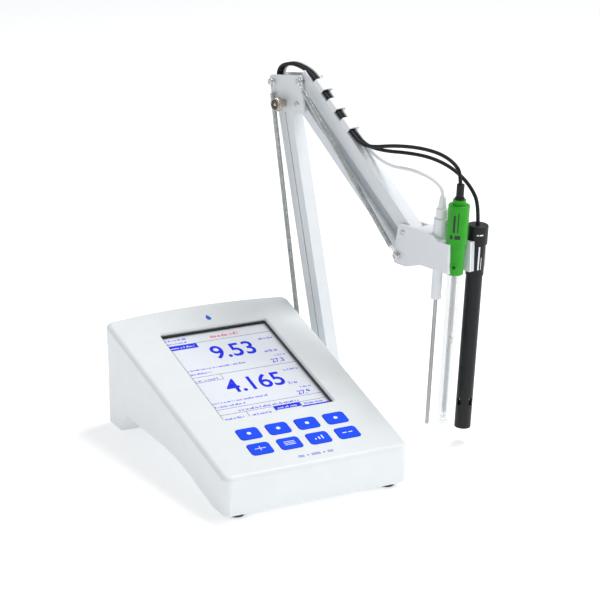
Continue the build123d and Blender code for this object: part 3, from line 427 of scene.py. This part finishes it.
def join(name, objects):
    """Several meshes as one piece."""
    points, faces, mats, picks = [], [], [], []
    for obj in objects:
        start = len(points)
        points += [v.co.copy() for v in obj.data.vertices]
        slot = len(mats)
        mats += list(obj.data.materials)
        for polygon in obj.data.polygons:
            faces.append(tuple(start + i for i in polygon.vertices))
            picks.append((slot + polygon.material_index, polygon.use_smooth))
    mesh = bpy.data.meshes.new(name)
    mesh.from_pydata([tuple(p) for p in points], [], faces)
    for material in mats:
        mesh.materials.append(material)
    for polygon, (slot, smooth) in zip(mesh.polygons, picks):
        polygon.material_index = slot
        polygon.use_smooth = smooth
    mesh.update()
    made = bpy.data.objects.new(name, mesh)
    scene.collection.objects.link(made)
    for obj in objects:
        bpy.data.objects.remove(obj)
    return made


# ---------------------------------------------------------------- cords
def bench_run(start_x, i, lat):
    """Down from a plug to the bench, two flat turns nested with the other cords, and on to the arm."""
    lane_1, lane_2, lane_3 = 182 - LANE_STEP * i, 146 + LANE_STEP * i, 128 - LANE_STEP * i
    left, right = -14 - LANE_STEP * i, 78 - LANE_STEP * i
    landing = start_x + 6
    a = radians(ARM_AZIMUTH)
    corner_h = (lane_3 - ARM_Y - lat * cos(a)) / sin(a)
    flat = [(start_x, 157, SOCKET_Z), (start_x + 0.5, lane_1 - 8, 24),
            (landing, lane_1 - 0.5, CORD_Z + 1.5), ((landing + right) / 2, lane_1 + 0.4, CORD_Z),
            (right, lane_1, CORD_Z), (right, lane_2, CORD_Z),
            ((left + right) / 2, lane_2 - 0.4, CORD_Z), (left, lane_2, CORD_Z), (left, lane_3, CORD_Z),
            (36, lane_3 + 0.4, CORD_Z)]
    return [world(*p) for p in flat] + [arm(corner_h, lat, CORD_Z)]


def shared_run(lat):
    """Up inside the post, over the bracket and down along the arm."""
    foot = [(-38.5, 6.8), (-29.0, 13.5), (-22.0, 34.0)]
    post = [along_post(37, 0.8), along_post(85, 1.1), along_post(140, 0.6), along_post(195, 1.1),
            along_post(238, 0.8)]
    loop = [(-66.5, 266.0), (-66.0, 279.0), (-50.0, 284.5), (-32.0, 281.5)]
    top = [along_arm(6, 9.6), along_arm(35, 9.4), along_arm(64, 9.6)]
    return [arm(h, lat, z) for h, z in (*foot, *post, *loop, *top)]


PH_DROP = [(33.0, -3.1, 231.5), (46.0, -2.8, 231.0), (70.0, -2.0, 236.5), (96.0, -1.0, 239.5),
           (118.0, -0.3, 239.0), (133.0, 0.0, 234.5), axis_point(PH_H, 0, 67), axis_point(PH_H, 0, 50)]
EC_DROP = [(36.0, 0.2, 230.0), (55.0, 1.0, 229.0), (80.0, 4.0, 231.5), (101.0, 8.5, 231.0),
           (120.0, 13.5, 225.0), (134.5, 18.0, 213.0), axis_point(EC_H, EC_LAT, 38),
           axis_point(EC_H, EC_LAT, 12)]
TEMP_ARM = along_arm(86, 9.4)
TEMP_DROP = [(TEMP_ARM[0], CORD_SIDE, TEMP_ARM[1]), (61.0, 2.4, 217.5), (86.0, 1.6, 219.5),
             (105.0, 0.8, 218.0), (116.5, 0.0, 215.0), axis_point(WHITE_H, 0, 50),
             axis_point(WHITE_H, 0, 41)]


def smooth_line(name, points):
    """The points of a smooth spline whose control points are the route's."""
    curve = bpy.data.curves.new(name, "CURVE")
    curve.dimensions = "3D"
    curve.resolution_u = 16
    spline = curve.splines.new("NURBS")
    spline.points.add(len(points) - 1)
    for target, point in zip(spline.points, points):
        target.co = (*point, 1)
    spline.order_u = 3
    spline.use_endpoint_u = True
    obj = bpy.data.objects.new(name, curve)
    scene.collection.objects.link(obj)
    bpy.context.view_layer.update()
    mesh = bpy.data.meshes.new_from_object(obj)
    line = [v.co.copy() for v in mesh.vertices]
    bpy.data.objects.remove(obj)
    bpy.data.meshes.remove(mesh)
    return line


def nearest(line, place):
    return min(range(len(line)), key=lambda i: (line[i] - place).length)


def length_of(line):
    return sum((b - a).length for a, b in zip(line, line[1:]))


def cord_stretches(lat, probe_end):
    """The cord's cuts, and for each stretch its first and second body and where its bend starts and ends."""
    foot, post_in = arm(-22, lat, 34), beside(along_post(62, 0.8), lat)
    post_out, bracket_in = beside(along_post(205, 0.8), lat), arm(-66.5, lat, 268)
    loop, arm_in = arm(-50, lat, 284), beside(along_arm(4, 9.6), lat)
    arm_out = beside(along_arm(66, 9.6), lat)
    bench_end = arm(-52, lat, CORD_Z)
    cuts = [foot, beside(along_post(125, 0.8), lat), loop, beside(along_arm(20, 9.6), lat)]
    spans = [("meter", "swivel", bench_end, foot), ("swivel", "post_rear", foot, post_in),
             ("post_rear", "bracket", post_out, bracket_in), ("bracket", "arm_upper", loop, arm_in),
             ("arm_upper", "head", arm_out, probe_end)]
    return cuts, spans


def cord(name, plug_x, i, lat, plug_y, drop, material):
    """One cord from its plug to its probe, in five stretches cut at the arm's joints."""
    route = [world(plug_x, plug_y, SOCKET_Z)] + bench_run(plug_x, i, lat) + shared_run(lat)
    route += [arm(*p) for p in drop]
    line = smooth_line(name + "_line", route)
    cuts, spans = cord_stretches(lat, line[-1])
    marks = [0] + [nearest(line, cut) for cut in cuts] + [len(line) - 1]
    made = []
    for k, (body_a, body_b, start, end) in enumerate(spans):
        part = line[marks[k]:marks[k + 1] + 1]
        piece = tube(f"{name}_{k + 1}", part, CORD_R * MM, material)
        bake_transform(piece)
        made.append(piece)
    for piece in made:
        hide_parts(name)
    print(name, "length", round(length_of(line) * 1000), "mm")


def cords(mats):
    cord("ph_cord", BNC_X, 2, -CORD_SIDE, PANEL_BACK + 31.6, PH_DROP, mats["jacket"])
    cord("ec_cord", DIN_X, 1, 0.0, PANEL_BACK + 32.2, EC_DROP, mats["jacket"])
    cord("temp_cord", TEMP_X, 0, CORD_SIDE, PANEL_BACK + 33.2, TEMP_DROP, mats["jacket_white"])


# ---------------------------------------------------------------- springs
WIRE_R = 0.36
COIL_R = 1.75
COIL_PITCH = 0.78
SPRING_END = 9.0                 # from a spring's screw to its first coil
SPRING_STILL = 6.0               # the end of a spring that doesn't bend
POST_BENDS, ARM_BENDS = (45.0, 45.0), (20.0, 34.0)


def spring(name, a, b, lat, mats, bodies, bends):
    """A close-wound spring between two screws, made as two halves.

    It lies along the link between the two bodies; the halves are not bent, though the stretches bends[0] mm
    from its first screw and bends[1] mm from its second are worked out.
    """
    start, end = arm(a[0], lat, a[1]), arm(b[0], lat, b[1])
    axis = (end - start).normalized()
    side = axis.orthogonal().normalized()
    other = axis.cross(side)
    run = (end - start).length
    coil_from, coil_to = SPRING_END * MM, run - SPRING_END * MM
    turns = (coil_to - coil_from) / (COIL_PITCH * MM)
    steps = int(turns * 12)
    line = hook(start, axis, 1)
    for k in range(steps + 1):
        t = 2 * pi * k / 12
        along = coil_from + (coil_to - coil_from) * k / steps
        line.append(start + axis * along + COIL_R * MM * (cos(t) * side + sin(t) * other))
    line += hook(end, axis, -1)[::-1]
    middle = len(line) // 2
    halves = (line[:middle + 1], line[middle:])
    still = SPRING_STILL * MM
    ends = ((start + axis * still, start + axis * bends[0] * MM),
            (end - axis * bends[1] * MM, end - axis * still))
    made = []
    for k, (half, (body_a, body_b), (low, high)) in enumerate(zip(halves, bodies, ends)):
        piece = tube(f"{name}_{k + 1}", half, WIRE_R * MM, mats["spring"], sides=6)
        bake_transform(piece)
        made.append(piece)
    return made


def hook(place, axis, way):
    """A spring's end: an open ring round the screw and a straight shank to the coil."""
    along = axis * way
    up = along.cross(arm(0, 1, 0) - arm(0, 0, 0)).normalized()
    ring = [place + 2.15 * MM * (-cos(t) * along + sin(t) * up) for t in [k * 0.26 for k in range(-9, 13)]]
    return ring + [place + along * 4.0 * MM, place + along * 8.0 * MM]


def springs(mats):
    post_bodies = (("swivel", "post_rear"), ("post_rear", "bracket"))
    arm_bodies = (("bracket", "arm_upper"), ("arm_upper", "head"))
    post, upper = [], []
    for side, tag in ((-1, "near"), (1, "far")):
        lat = side * SPRING_LAT
        post += spring(f"post_spring_{tag}", SPRING_FOOT, SPRING_TOP, lat, mats, post_bodies, POST_BENDS)
        upper += spring(f"arm_spring_{tag}", R1, S2, lat, mats, arm_bodies, ARM_BENDS)
    for piece in post:
        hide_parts("post_springs")
    for piece in upper:
        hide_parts("arm_springs")


# ---------------------------------------------------------------- screws and knob
SHANK_START = 4.9                # from the arm's middle plane to where a screw's shank shows
FOOT_OUT = 9.0                   # outer face of the arm base's cheeks
P2 = (0.2, 22.0)


def pivot(name, point, side, plate, mats, radius=2.6, height=1.5):
    """A pivot screw: shank through the plate and a cross-recessed head."""
    h, z = point
    axis = (arm(0, side, 0) - arm(0, 0, 0)).normalized()
    profile = ((1.45, 0), (1.5, 0.2), (1.5, plate - SHANK_START))
    shank = turned(name + "_shank", profile, arm(h, side * SHANK_START, z), axis, mats["screw"], sides=24)
    head = screw_head(name + "_head", arm(h, side * plate, z), axis, radius, height, mats["screw"],
                      turn=0.3 + h * 0.01)
    return [shank, head]


def hook_pivot(name, point, side, plate, mats):
    """A long screw that carries a spring's hook between two collars."""
    h, z = point
    axis = (arm(0, side, 0) - arm(0, 0, 0)).normalized()
    base = arm(h, side * 5.0, z)
    reach = plate - 5.0
    tip = SPRING_LAT + 1.0 - 5.0
    profile = ((1.45, 0), (1.5, 0.2), (1.5, reach), (2.4, reach), (2.4, reach + 0.5), (2.2, reach + 0.6),
               (1.5, reach + 0.6), (1.5, tip))
    shank = turned(name + "_shank", profile, base, axis, mats["screw"], sides=28)
    head = screw_head(name + "_head", arm(h, side * (SPRING_LAT + 1.0), z), axis, 2.8, 1.2, mats["screw"],
                      turn=0.5 + z * 0.01)
    return [shank, head]


def screws(mats):
    made = []
    for side, tag in ((-1, "near"), (1, "far")):
        made += pivot(f"bracket_rear_{tag}", Q1, side, PLATE_OUT, mats, 2.6, 0.4)
        made += pivot(f"bracket_low_{tag}", R2, side, PLATE_OUT, mats)
        made += hook_pivot(f"bracket_front_{tag}", R1, side, PLATE_OUT, mats)
        made += hook_pivot(f"bracket_top_{tag}", SPRING_TOP, side, PLATE_OUT, mats)
    made += pivot("bracket_knob_far", Q2, 1, PLATE_OUT, mats, 3.6, 2.3)
    place(join("bracket_screws", made), "bracket", "bracket_pivots", "steel_screw")

    made = []
    for side, tag in ((-1, "near"), (1, "far")):
        made += pivot(f"head_top_{tag}", S1, side, HEAD_OUT, mats, 2.4, 1.0)
        made += hook_pivot(f"head_low_{tag}", S2, side, HEAD_OUT, mats)
    place(join("head_screws", made), "head", "head_pivots", "steel_screw")

    made = []
    for side, tag in ((-1, "near"), (1, "far")):
        made += pivot(f"foot_rear_{tag}", P1, side, FOOT_OUT, mats)
        made += pivot(f"foot_front_{tag}", P2, side, FOOT_OUT, mats)
        made += hook_pivot(f"foot_spring_{tag}", SPRING_FOOT, side, FOOT_OUT, mats)
    place(join("foot_screws", made), "swivel", "base_pivots", "steel_screw")


def place(piece, body, node, slot):
    """A piece that rides on a body and stands for one CAD node."""
    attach(piece, body)
    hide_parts(node)


def knob(mats):
    """The tension knob: a stem, a toothed rim, and a dished face with a dark knurled ring."""
    axis = (arm(0, -1, 0) - arm(0, 0, 0)).normalized()
    base = beside(Q2, -SHANK_START)
    stem = ((1.4, 0), (1.45, 0.1), (1.45, 4.0), (2.9, 4.0), (2.9, 4.4), (2.6, 4.9), (2.6, 8.2), (2.9, 8.9),
            (4.8, 9.0), (5.3, 9.3), (5.5, 9.6), (5.5, 14.2), (5.3, 14.6), (4.9, 14.9), (4.3, 14.9),
            (4.2, 14.4), (1.6, 14.4), (1.5, 14.8), (0.6, 14.9))
    body = turned("knob_body", stem, base, axis, mats["knob"], sides=192, flutes=48, flute_depth=0.22,
                  fluted=(10, 12))
    rim = ((4.15, 14.3), (4.1, 14.75), (2.2, 14.75), (2.1, 14.3))
    ring = turned("knob_ring", rim, base, axis, mats["knurl"], sides=96, flutes=32, flute_depth=0.25,
                  fluted=(1, 2))
    place(join("knob", [body, ring]), "knob", "tension_knob", "knob_nickel")


# ---------------------------------------------------------------- display
SCREEN_LEVEL = -4.62


def rectangles(name, boxes, material, level=SCREEN_LEVEL):
    """Flat rectangles (u0, u1, v0, v1) on the face, at one level."""
    points, faces = [], []
    for u0, u1, v0, v1 in boxes:
        k = len(points)
        points += [on_face(u, v, level) for u, v in ((u0, v0), (u1, v0), (u1, v1), (u0, v1))]
        faces.append((k, k + 1, k + 2, k + 3))
    return mesh_object(name, points, faces, material)


def number(name, text, u, v, height, material, level=SCREEN_LEVEL, bold=0.0):
    """Figures with their lower left corner at u, v."""
    curve = bpy.data.curves.new(name, "FONT")
    curve.body = text
    curve.size = height * 1.42 * MM
    curve.offset = bold * MM
    curve.fill_mode = "FRONT"
    obj = bpy.data.objects.new(name, curve)
    scene.collection.objects.link(obj)
    bpy.context.view_layer.update()
    mesh = bpy.data.meshes.new_from_object(obj)
    corner = Matrix.Translation(Vector((u, v, level)) * MM)
    narrowed = Matrix.Diagonal((0.86, 1, 1, 1))
    mesh.transform(face_frame() @ corner @ narrowed)
    mesh.materials.clear()
    mesh.materials.append(material)
    bpy.data.objects.remove(obj)
    made = bpy.data.objects.new(name, mesh)
    scene.collection.objects.link(made)
    return made


def marks(u, v, length, height, seed):
    """A row of small strokes that stands in for a line of words."""
    rng = random.Random(seed)
    boxes = []
    at = u
    while at < u + length:
        wide = rng.uniform(0.35, 0.9)
        tall = height * rng.choice((0.55, 0.62, 0.7, 1.0))
        boxes.append((at, at + wide, v, v + tall))
        at += wide + rng.choice((0.35, 0.4, 0.45, 1.4))
    return boxes


def display(mats):
    """The lit display: a white ground, ruled fields, two readings and rows of plain marks."""
    half_w, half_h = SCREEN[0] / 2, SCREEN[1] / 2
    left, right, low, high = -half_w, half_w, SCREEN_V - half_h, SCREEN_V + half_h
    ground = rectangles("screen_ground", [(left - 0.6, right + 0.6, low - 0.6, high + 0.6)], mats["screen"],
                        SCREEN_LEVEL - 0.03)
    rule = 0.44
    rules = [(left, right, v, v + rule) for v in (high - 12.2, high - 60.5, high - 107.5, high - 115.0)]
    rules += [(u, u + rule, low, high - 115.0) for u in (left + 22.9, 0.0, right - 22.9)]
    rules.append((left + 0.5, left + 25.0, high - 68.0, high - 68.0 + rule))
    rules.append((left + 25.0, left + 25.4, high - 68.0, high - 60.5))
    fields = [(left, left + 25.0, high - 18.6, high - 12.2), (0.5, right - 23.1, low + 5.4, high - 115.0),
              (right - 22.5, right, low, low + 5.2)]
    blue = marks(left + 1, high - 5.0, 19, 2.4, 1) + marks(left + 1, high - 9.8, 17, 2.4, 2)
    blue += marks(right - 15, high - 22.0, 13, 2.3, 3) + marks(left + 2, high - 51.0, 50, 2.4, 4)
    blue += marks(left + 2, high - 56.6, 18, 2.4, 5) + marks(right - 12.5, high - 48.0, 9, 1.9, 6)
    blue += marks(left + 2, high - 66.6, 20, 2.6, 7) + marks(right - 15, high - 70.5, 13, 2.3, 8)
    blue += marks(left + 2, high - 99.5, 46, 2.4, 9) + marks(left + 2, high - 104.8, 26, 2.4, 10)
    blue += marks(right - 12.5, high - 96.5, 9, 1.9, 11) + marks(left + 18, high - 113.2, 52, 2.6, 12)
    blue += marks(left + 3, low + 3.6, 16, 2.6, 13) + marks(left + 26, low + 3.6, 16, 2.6, 14)
    blue += marks(3, low + 1.2, 16, 2.4, 15) + marks(right - 20, low + 6.6, 16, 2.4, 16)
    blue += marks(right - 17.5, high - 41.0, 10, 3.6, 17) + marks(right - 19.0, high - 89.5, 7, 4.0, 18)
    white = marks(left + 1.5, high - 16.6, 21, 2.6, 19) + marks(3, low + 6.6, 16, 2.4, 20)
    white += marks(right - 20, low + 1.2, 16, 2.4, 21)
    red = marks(left + 40, high - 8.6, 24, 4.2, 22)
    pieces = [ground, rectangles("screen_rules", rules, mats["ink_grey"], SCREEN_LEVEL - 0.01),
              rectangles("screen_fields", fields, mats["ink_blue"], SCREEN_LEVEL - 0.01),
              rectangles("screen_marks", blue, mats["ink_blue"]),
              rectangles("screen_white_marks", white, mats["screen"], SCREEN_LEVEL + 0.01),
              rectangles("screen_title", red, mats["ink_red"])]
    pieces.append(number("reading_1", "9.53", left + 31, high - 39.0, 18.5, mats["ink_blue"], bold=0.42))
    pieces.append(number("reading_2", "4.165", left + 22, high - 88.0, 18.5, mats["ink_blue"], bold=0.42))
    pieces.append(number("reading_3", "27.3", right - 18.5, high - 56.8, 5.4, mats["ink_blue"], bold=0.08))
    pieces.append(number("reading_4", "27.9", right - 18.5, high - 105.2, 5.4, mats["ink_blue"], bold=0.08))
    screen = join("display_picture", pieces)
    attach(screen, "meter")

    lens = rounded_slab("display_window", 99.6, 134.6, 1.5, -4.3, -3.34, 0, SCREEN_V, mats["lens"])
    place(lens, "meter", "display_lens", "lens_clear")


def rounded_slab(name, width, height, radius, low, high, u, v, material):
    """A rounded plate lying along the face, with a fine bevel round both edges."""
    corners = ((1, 1, 0), (-1, 1, 90), (-1, -1, 180), (1, -1, 270))
    bevel = 0.15
    rings = []
    for inset, level in ((bevel, low), (0, low + bevel), (0, high - bevel), (bevel, high)):
        ring = []
        for sx, sy, first in corners:
            cx, cy = u + sx * (width / 2 - radius), v + sy * (height / 2 - radius)
            for k in range(7):
                t = radians(first + 15 * k)
                ring.append(on_face(cx + (radius - inset) * cos(t), cy + (radius - inset) * sin(t), level))
        rings.append(ring)
    return rings_object(name, rings, material, sharp=True)


# ---------------------------------------------------------------- keys and printing
KEYS = ("key_soft_1", "key_soft_2", "key_soft_3", "key_soft_4",
        "key_cal", "key_mode", "key_setup", "key_help")
KEY_TOP = 0.52


def disc(name, u, v, radius, material, level, sides=28):
    points = [on_face(u + radius * cos(2 * pi * j / sides), v + radius * sin(2 * pi * j / sides), level)
              for j in range(sides)]
    return mesh_object(name, points, [tuple(range(sides))], material)


def key_symbol(name, u, v, mats):
    """A plain printed symbol for each key of the lower row."""
    level = KEY_TOP
    ink = mats["key_print"]
    if name == "key_cal":
        boxes = [(u - 4.5, u + 4.5, v - 0.35, v + 0.35), (u - 0.35, u + 0.35, v - 2.6, v + 2.6)]
    elif name == "key_mode":
        boxes = [(u - 4.5, u + 4.5, v + d - 0.35, v + d + 0.35) for d in (-1.9, 0, 1.9)]
    elif name == "key_setup":
        bars = ((-3, 1.8), (0, 3.2), (3, 4.6))
        boxes = [(u + d - 0.6, u + d + 0.6, v - 2.2, v - 2.2 + tall) for d, tall in bars]
    else:
        boxes = [(u - 4.2, u - 0.8, v - 0.5, v + 0.5), (u + 0.8, u + 4.2, v - 0.5, v + 0.5)]
    return rectangles(name + "_symbol", boxes, ink, level)


def key_prints(mats):
    offsets = [(i - 1.5) * KEY_PITCH for i in range(4)]
    centres = [(u, v) for v in KEY_ROWS for u in offsets]
    for name, (u, v) in zip(KEYS, centres):
        if name.startswith("key_soft"):
            symbol = disc(name + "_dot", u, v, 1.7, mats["key_print"], KEY_TOP)
        else:
            symbol = key_symbol(name, u, v, mats)
        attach(symbol, name + "_body")


def housing_prints(mats):
    """A drop symbol above the display, and two dots between three pairs of bars under the keys."""
    level = 0.04
    ink = mats["print_blue"]
    pieces = []
    for u in (-5.5, 8.0):
        pieces.append(disc(f"line_dot_{u}", u, 10.9, 0.75, ink, level))
    spans = ((-13.5, -8.5), (-2.5, 5.0), (11.0, 15.5))
    bars = [(u0, u1, v, v + 0.75) for u0, u1 in spans for v in (9.8, 11.3)]
    pieces.append(rectangles("line_bars", bars, ink, level))
    drop = []
    for k in range(36):
        t = 2 * pi * k / 36
        drop.append(on_face(1.5 + 2.7 * sin(t) * (0.5 - 0.5 * cos(t)) ** 0.55, 214.0 + 4.2 * cos(t), level))
    pieces.append(mesh_object("drop_mark", drop, [tuple(range(36))[::-1]], ink))
    made = join("housing_prints", pieces)
    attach(made, "meter")


# ---------------------------------------------------------------- probe labels
def probe_patch(name, h, lat, radius, turns, levels, material):
    """A printed patch wrapped round a leaning probe, between two angles and two levels."""
    first, last = turns
    low, high = levels
    steps = 10
    points, faces = [], []
    for level in (low, high):
        for k in range(steps + 1):
            t = radians(first + (last - first) * k / steps)
            foot = axis_point(h, lat, level)
            points.append(arm(foot[0] + radius * cos(t), foot[1] + radius * sin(t), foot[2]))
    for k in range(steps):
        faces.append((k, k + 1, steps + 2 + k, steps + 1 + k))
    return mesh_object(name, points, faces, material, smooth=True)


def probe_prints(mats):
    """Plain blocks and a stroke where the makers print."""
    upper_r, lower_r = 8.33, 7.23
    made = [probe_patch("ph_block_1", PH_H, 0, upper_r, (-88, -70), (16.6, 19.8), mats["print"]),
            probe_patch("ph_block_2", PH_H, 0, upper_r, (-60, -28), (16.6, 19.8), mats["print"]),
            probe_patch("ph_stroke_1", PH_H, 0, upper_r, (-72, -60), (22.0, 36.0), mats["print"]),
            probe_patch("ph_stroke_2", PH_H, 0, upper_r, (-48, -42), (22.0, 38.0), mats["print"])]
    piece = join("ph_cap_print", made)
    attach(piece, "head")
    made = [probe_patch("ec_block_1", EC_H, EC_LAT, upper_r, (-50, -38), (16.2, 17.2), mats["key_print"]),
            probe_patch("ec_block_2", EC_H, EC_LAT, upper_r, (-34, -14), (16.2, 17.2), mats["key_print"]),
            probe_patch("ec_stroke_1", EC_H, EC_LAT, lower_r, (-32, -22), (-12.0, 7.0), mats["key_print"]),
            probe_patch("ec_stroke_2", EC_H, EC_LAT, lower_r, (-12, -8), (-12.0, -2.0), mats["key_print"])]
    piece = join("ec_cap_print", made)
    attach(piece, "head")


def electrode_details(mats):
    """A thin thread and a pale porous plug inside the glass, and the green cap's small socket."""
    line = []
    for k in range(25):
        level = -13.0 - 2.0 * k
        bow = 0.5 * sin(k * 0.35)
        line.append(arm(*axis_point(PH_H + 3.1 + bow, -0.6 - bow, level)))
    thread = tube("ph_thread", line, 0.28 * MM, mats["thread"], sides=8)
    foot = axis_point(PH_H + 3.4, -1.6, -70.0)
    up = arm(*axis_point(PH_H, 0, 1.0)) - arm(*axis_point(PH_H, 0, 0.0))
    plug = ((1.0, 0), (1.3, 0.4), (1.3, 4.4), (1.0, 4.9))
    frit = turned("ph_frit", plug, arm(*foot), up, mats["frit"], sides=20)
    inner = join("ph_thread_and_frit", [thread, frit])
    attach(inner, "head")

    t = radians(RING_ANGLE)
    centre = axis_point(PH_H, 0, -6.0)
    outward = arm(cos(t), sin(t), 0) - arm(0, 0, 0)
    base = arm(*centre) + outward * 6.9
    rim = ((2.75, -0.6), (2.75, 0.45), (2.45, 0.75), (2.0, 0.75), (1.75, 0.4), (1.75, 0.1))
    ring = turned("socket_rim", rim, base, outward, mats["green"], sides=36)
    dish = ((1.7, 0.0), (1.7, 0.44), (0.9, 0.46), (0.8, 0.2))
    hole = turned("socket_hole", dish, base, outward, mats["print"])
    made = join("ph_cap_socket", [ring, hole])
    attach(made, "head")


# ---------------------------------------------------------------- finishes on the CAD pieces
def dress(mats):
    looks = {
        "shell": ("top_housing", "bottom_housing"),
        "bezel": ("display_bezel",),
        "module": ("lcd_module",),
        "key": KEYS,
        "rubber": ("key_mat",),
        "board": ("keypad_board", "main_board"),
        "screw": ("board_screws", "housing_screws", "base_screws"),
        "panel": ("rear_panel",),
        "nickel": ("bnc_socket", "temp_socket", "usb_socket", "plug_ph"),
        "black": ("din_socket", "dc_jack", "power_switch", "power_rocker", "plug_ec", "ec_cap", "ec_stem",
                  "ph_relief"),
        "foot": ("rubber_feet",),
        "plate": ("base_plate",),
        "arm": ("arm_base", "post_rear_link", "post_front_link", "bracket_near_plate", "bracket_far_plate",
                "arm_channel", "arm_lower_link"),
        "head": ("holder_head",),
        "white": ("cable_clips", "temp_handle", "plug_temp"),
        "green": ("ph_cap",),
        "glass": ("ph_glass",),
        "core": ("ph_core",),
        "probe_steel": ("temp_stem",),
    }
    for look, names in looks.items():
        for name in names:
            for slot in nodes[name].material_slots:
                slot.material = mats[look]


def main():
    camera()
    mats = all_finishes()
    cords(mats)
    studio()
    dress(mats)
    springs(mats)
    screws(mats)
    knob(mats)
    display(mats)
    key_prints(mats)
    housing_prints(mats)
    probe_prints(mats)
    electrode_details(mats)


main()
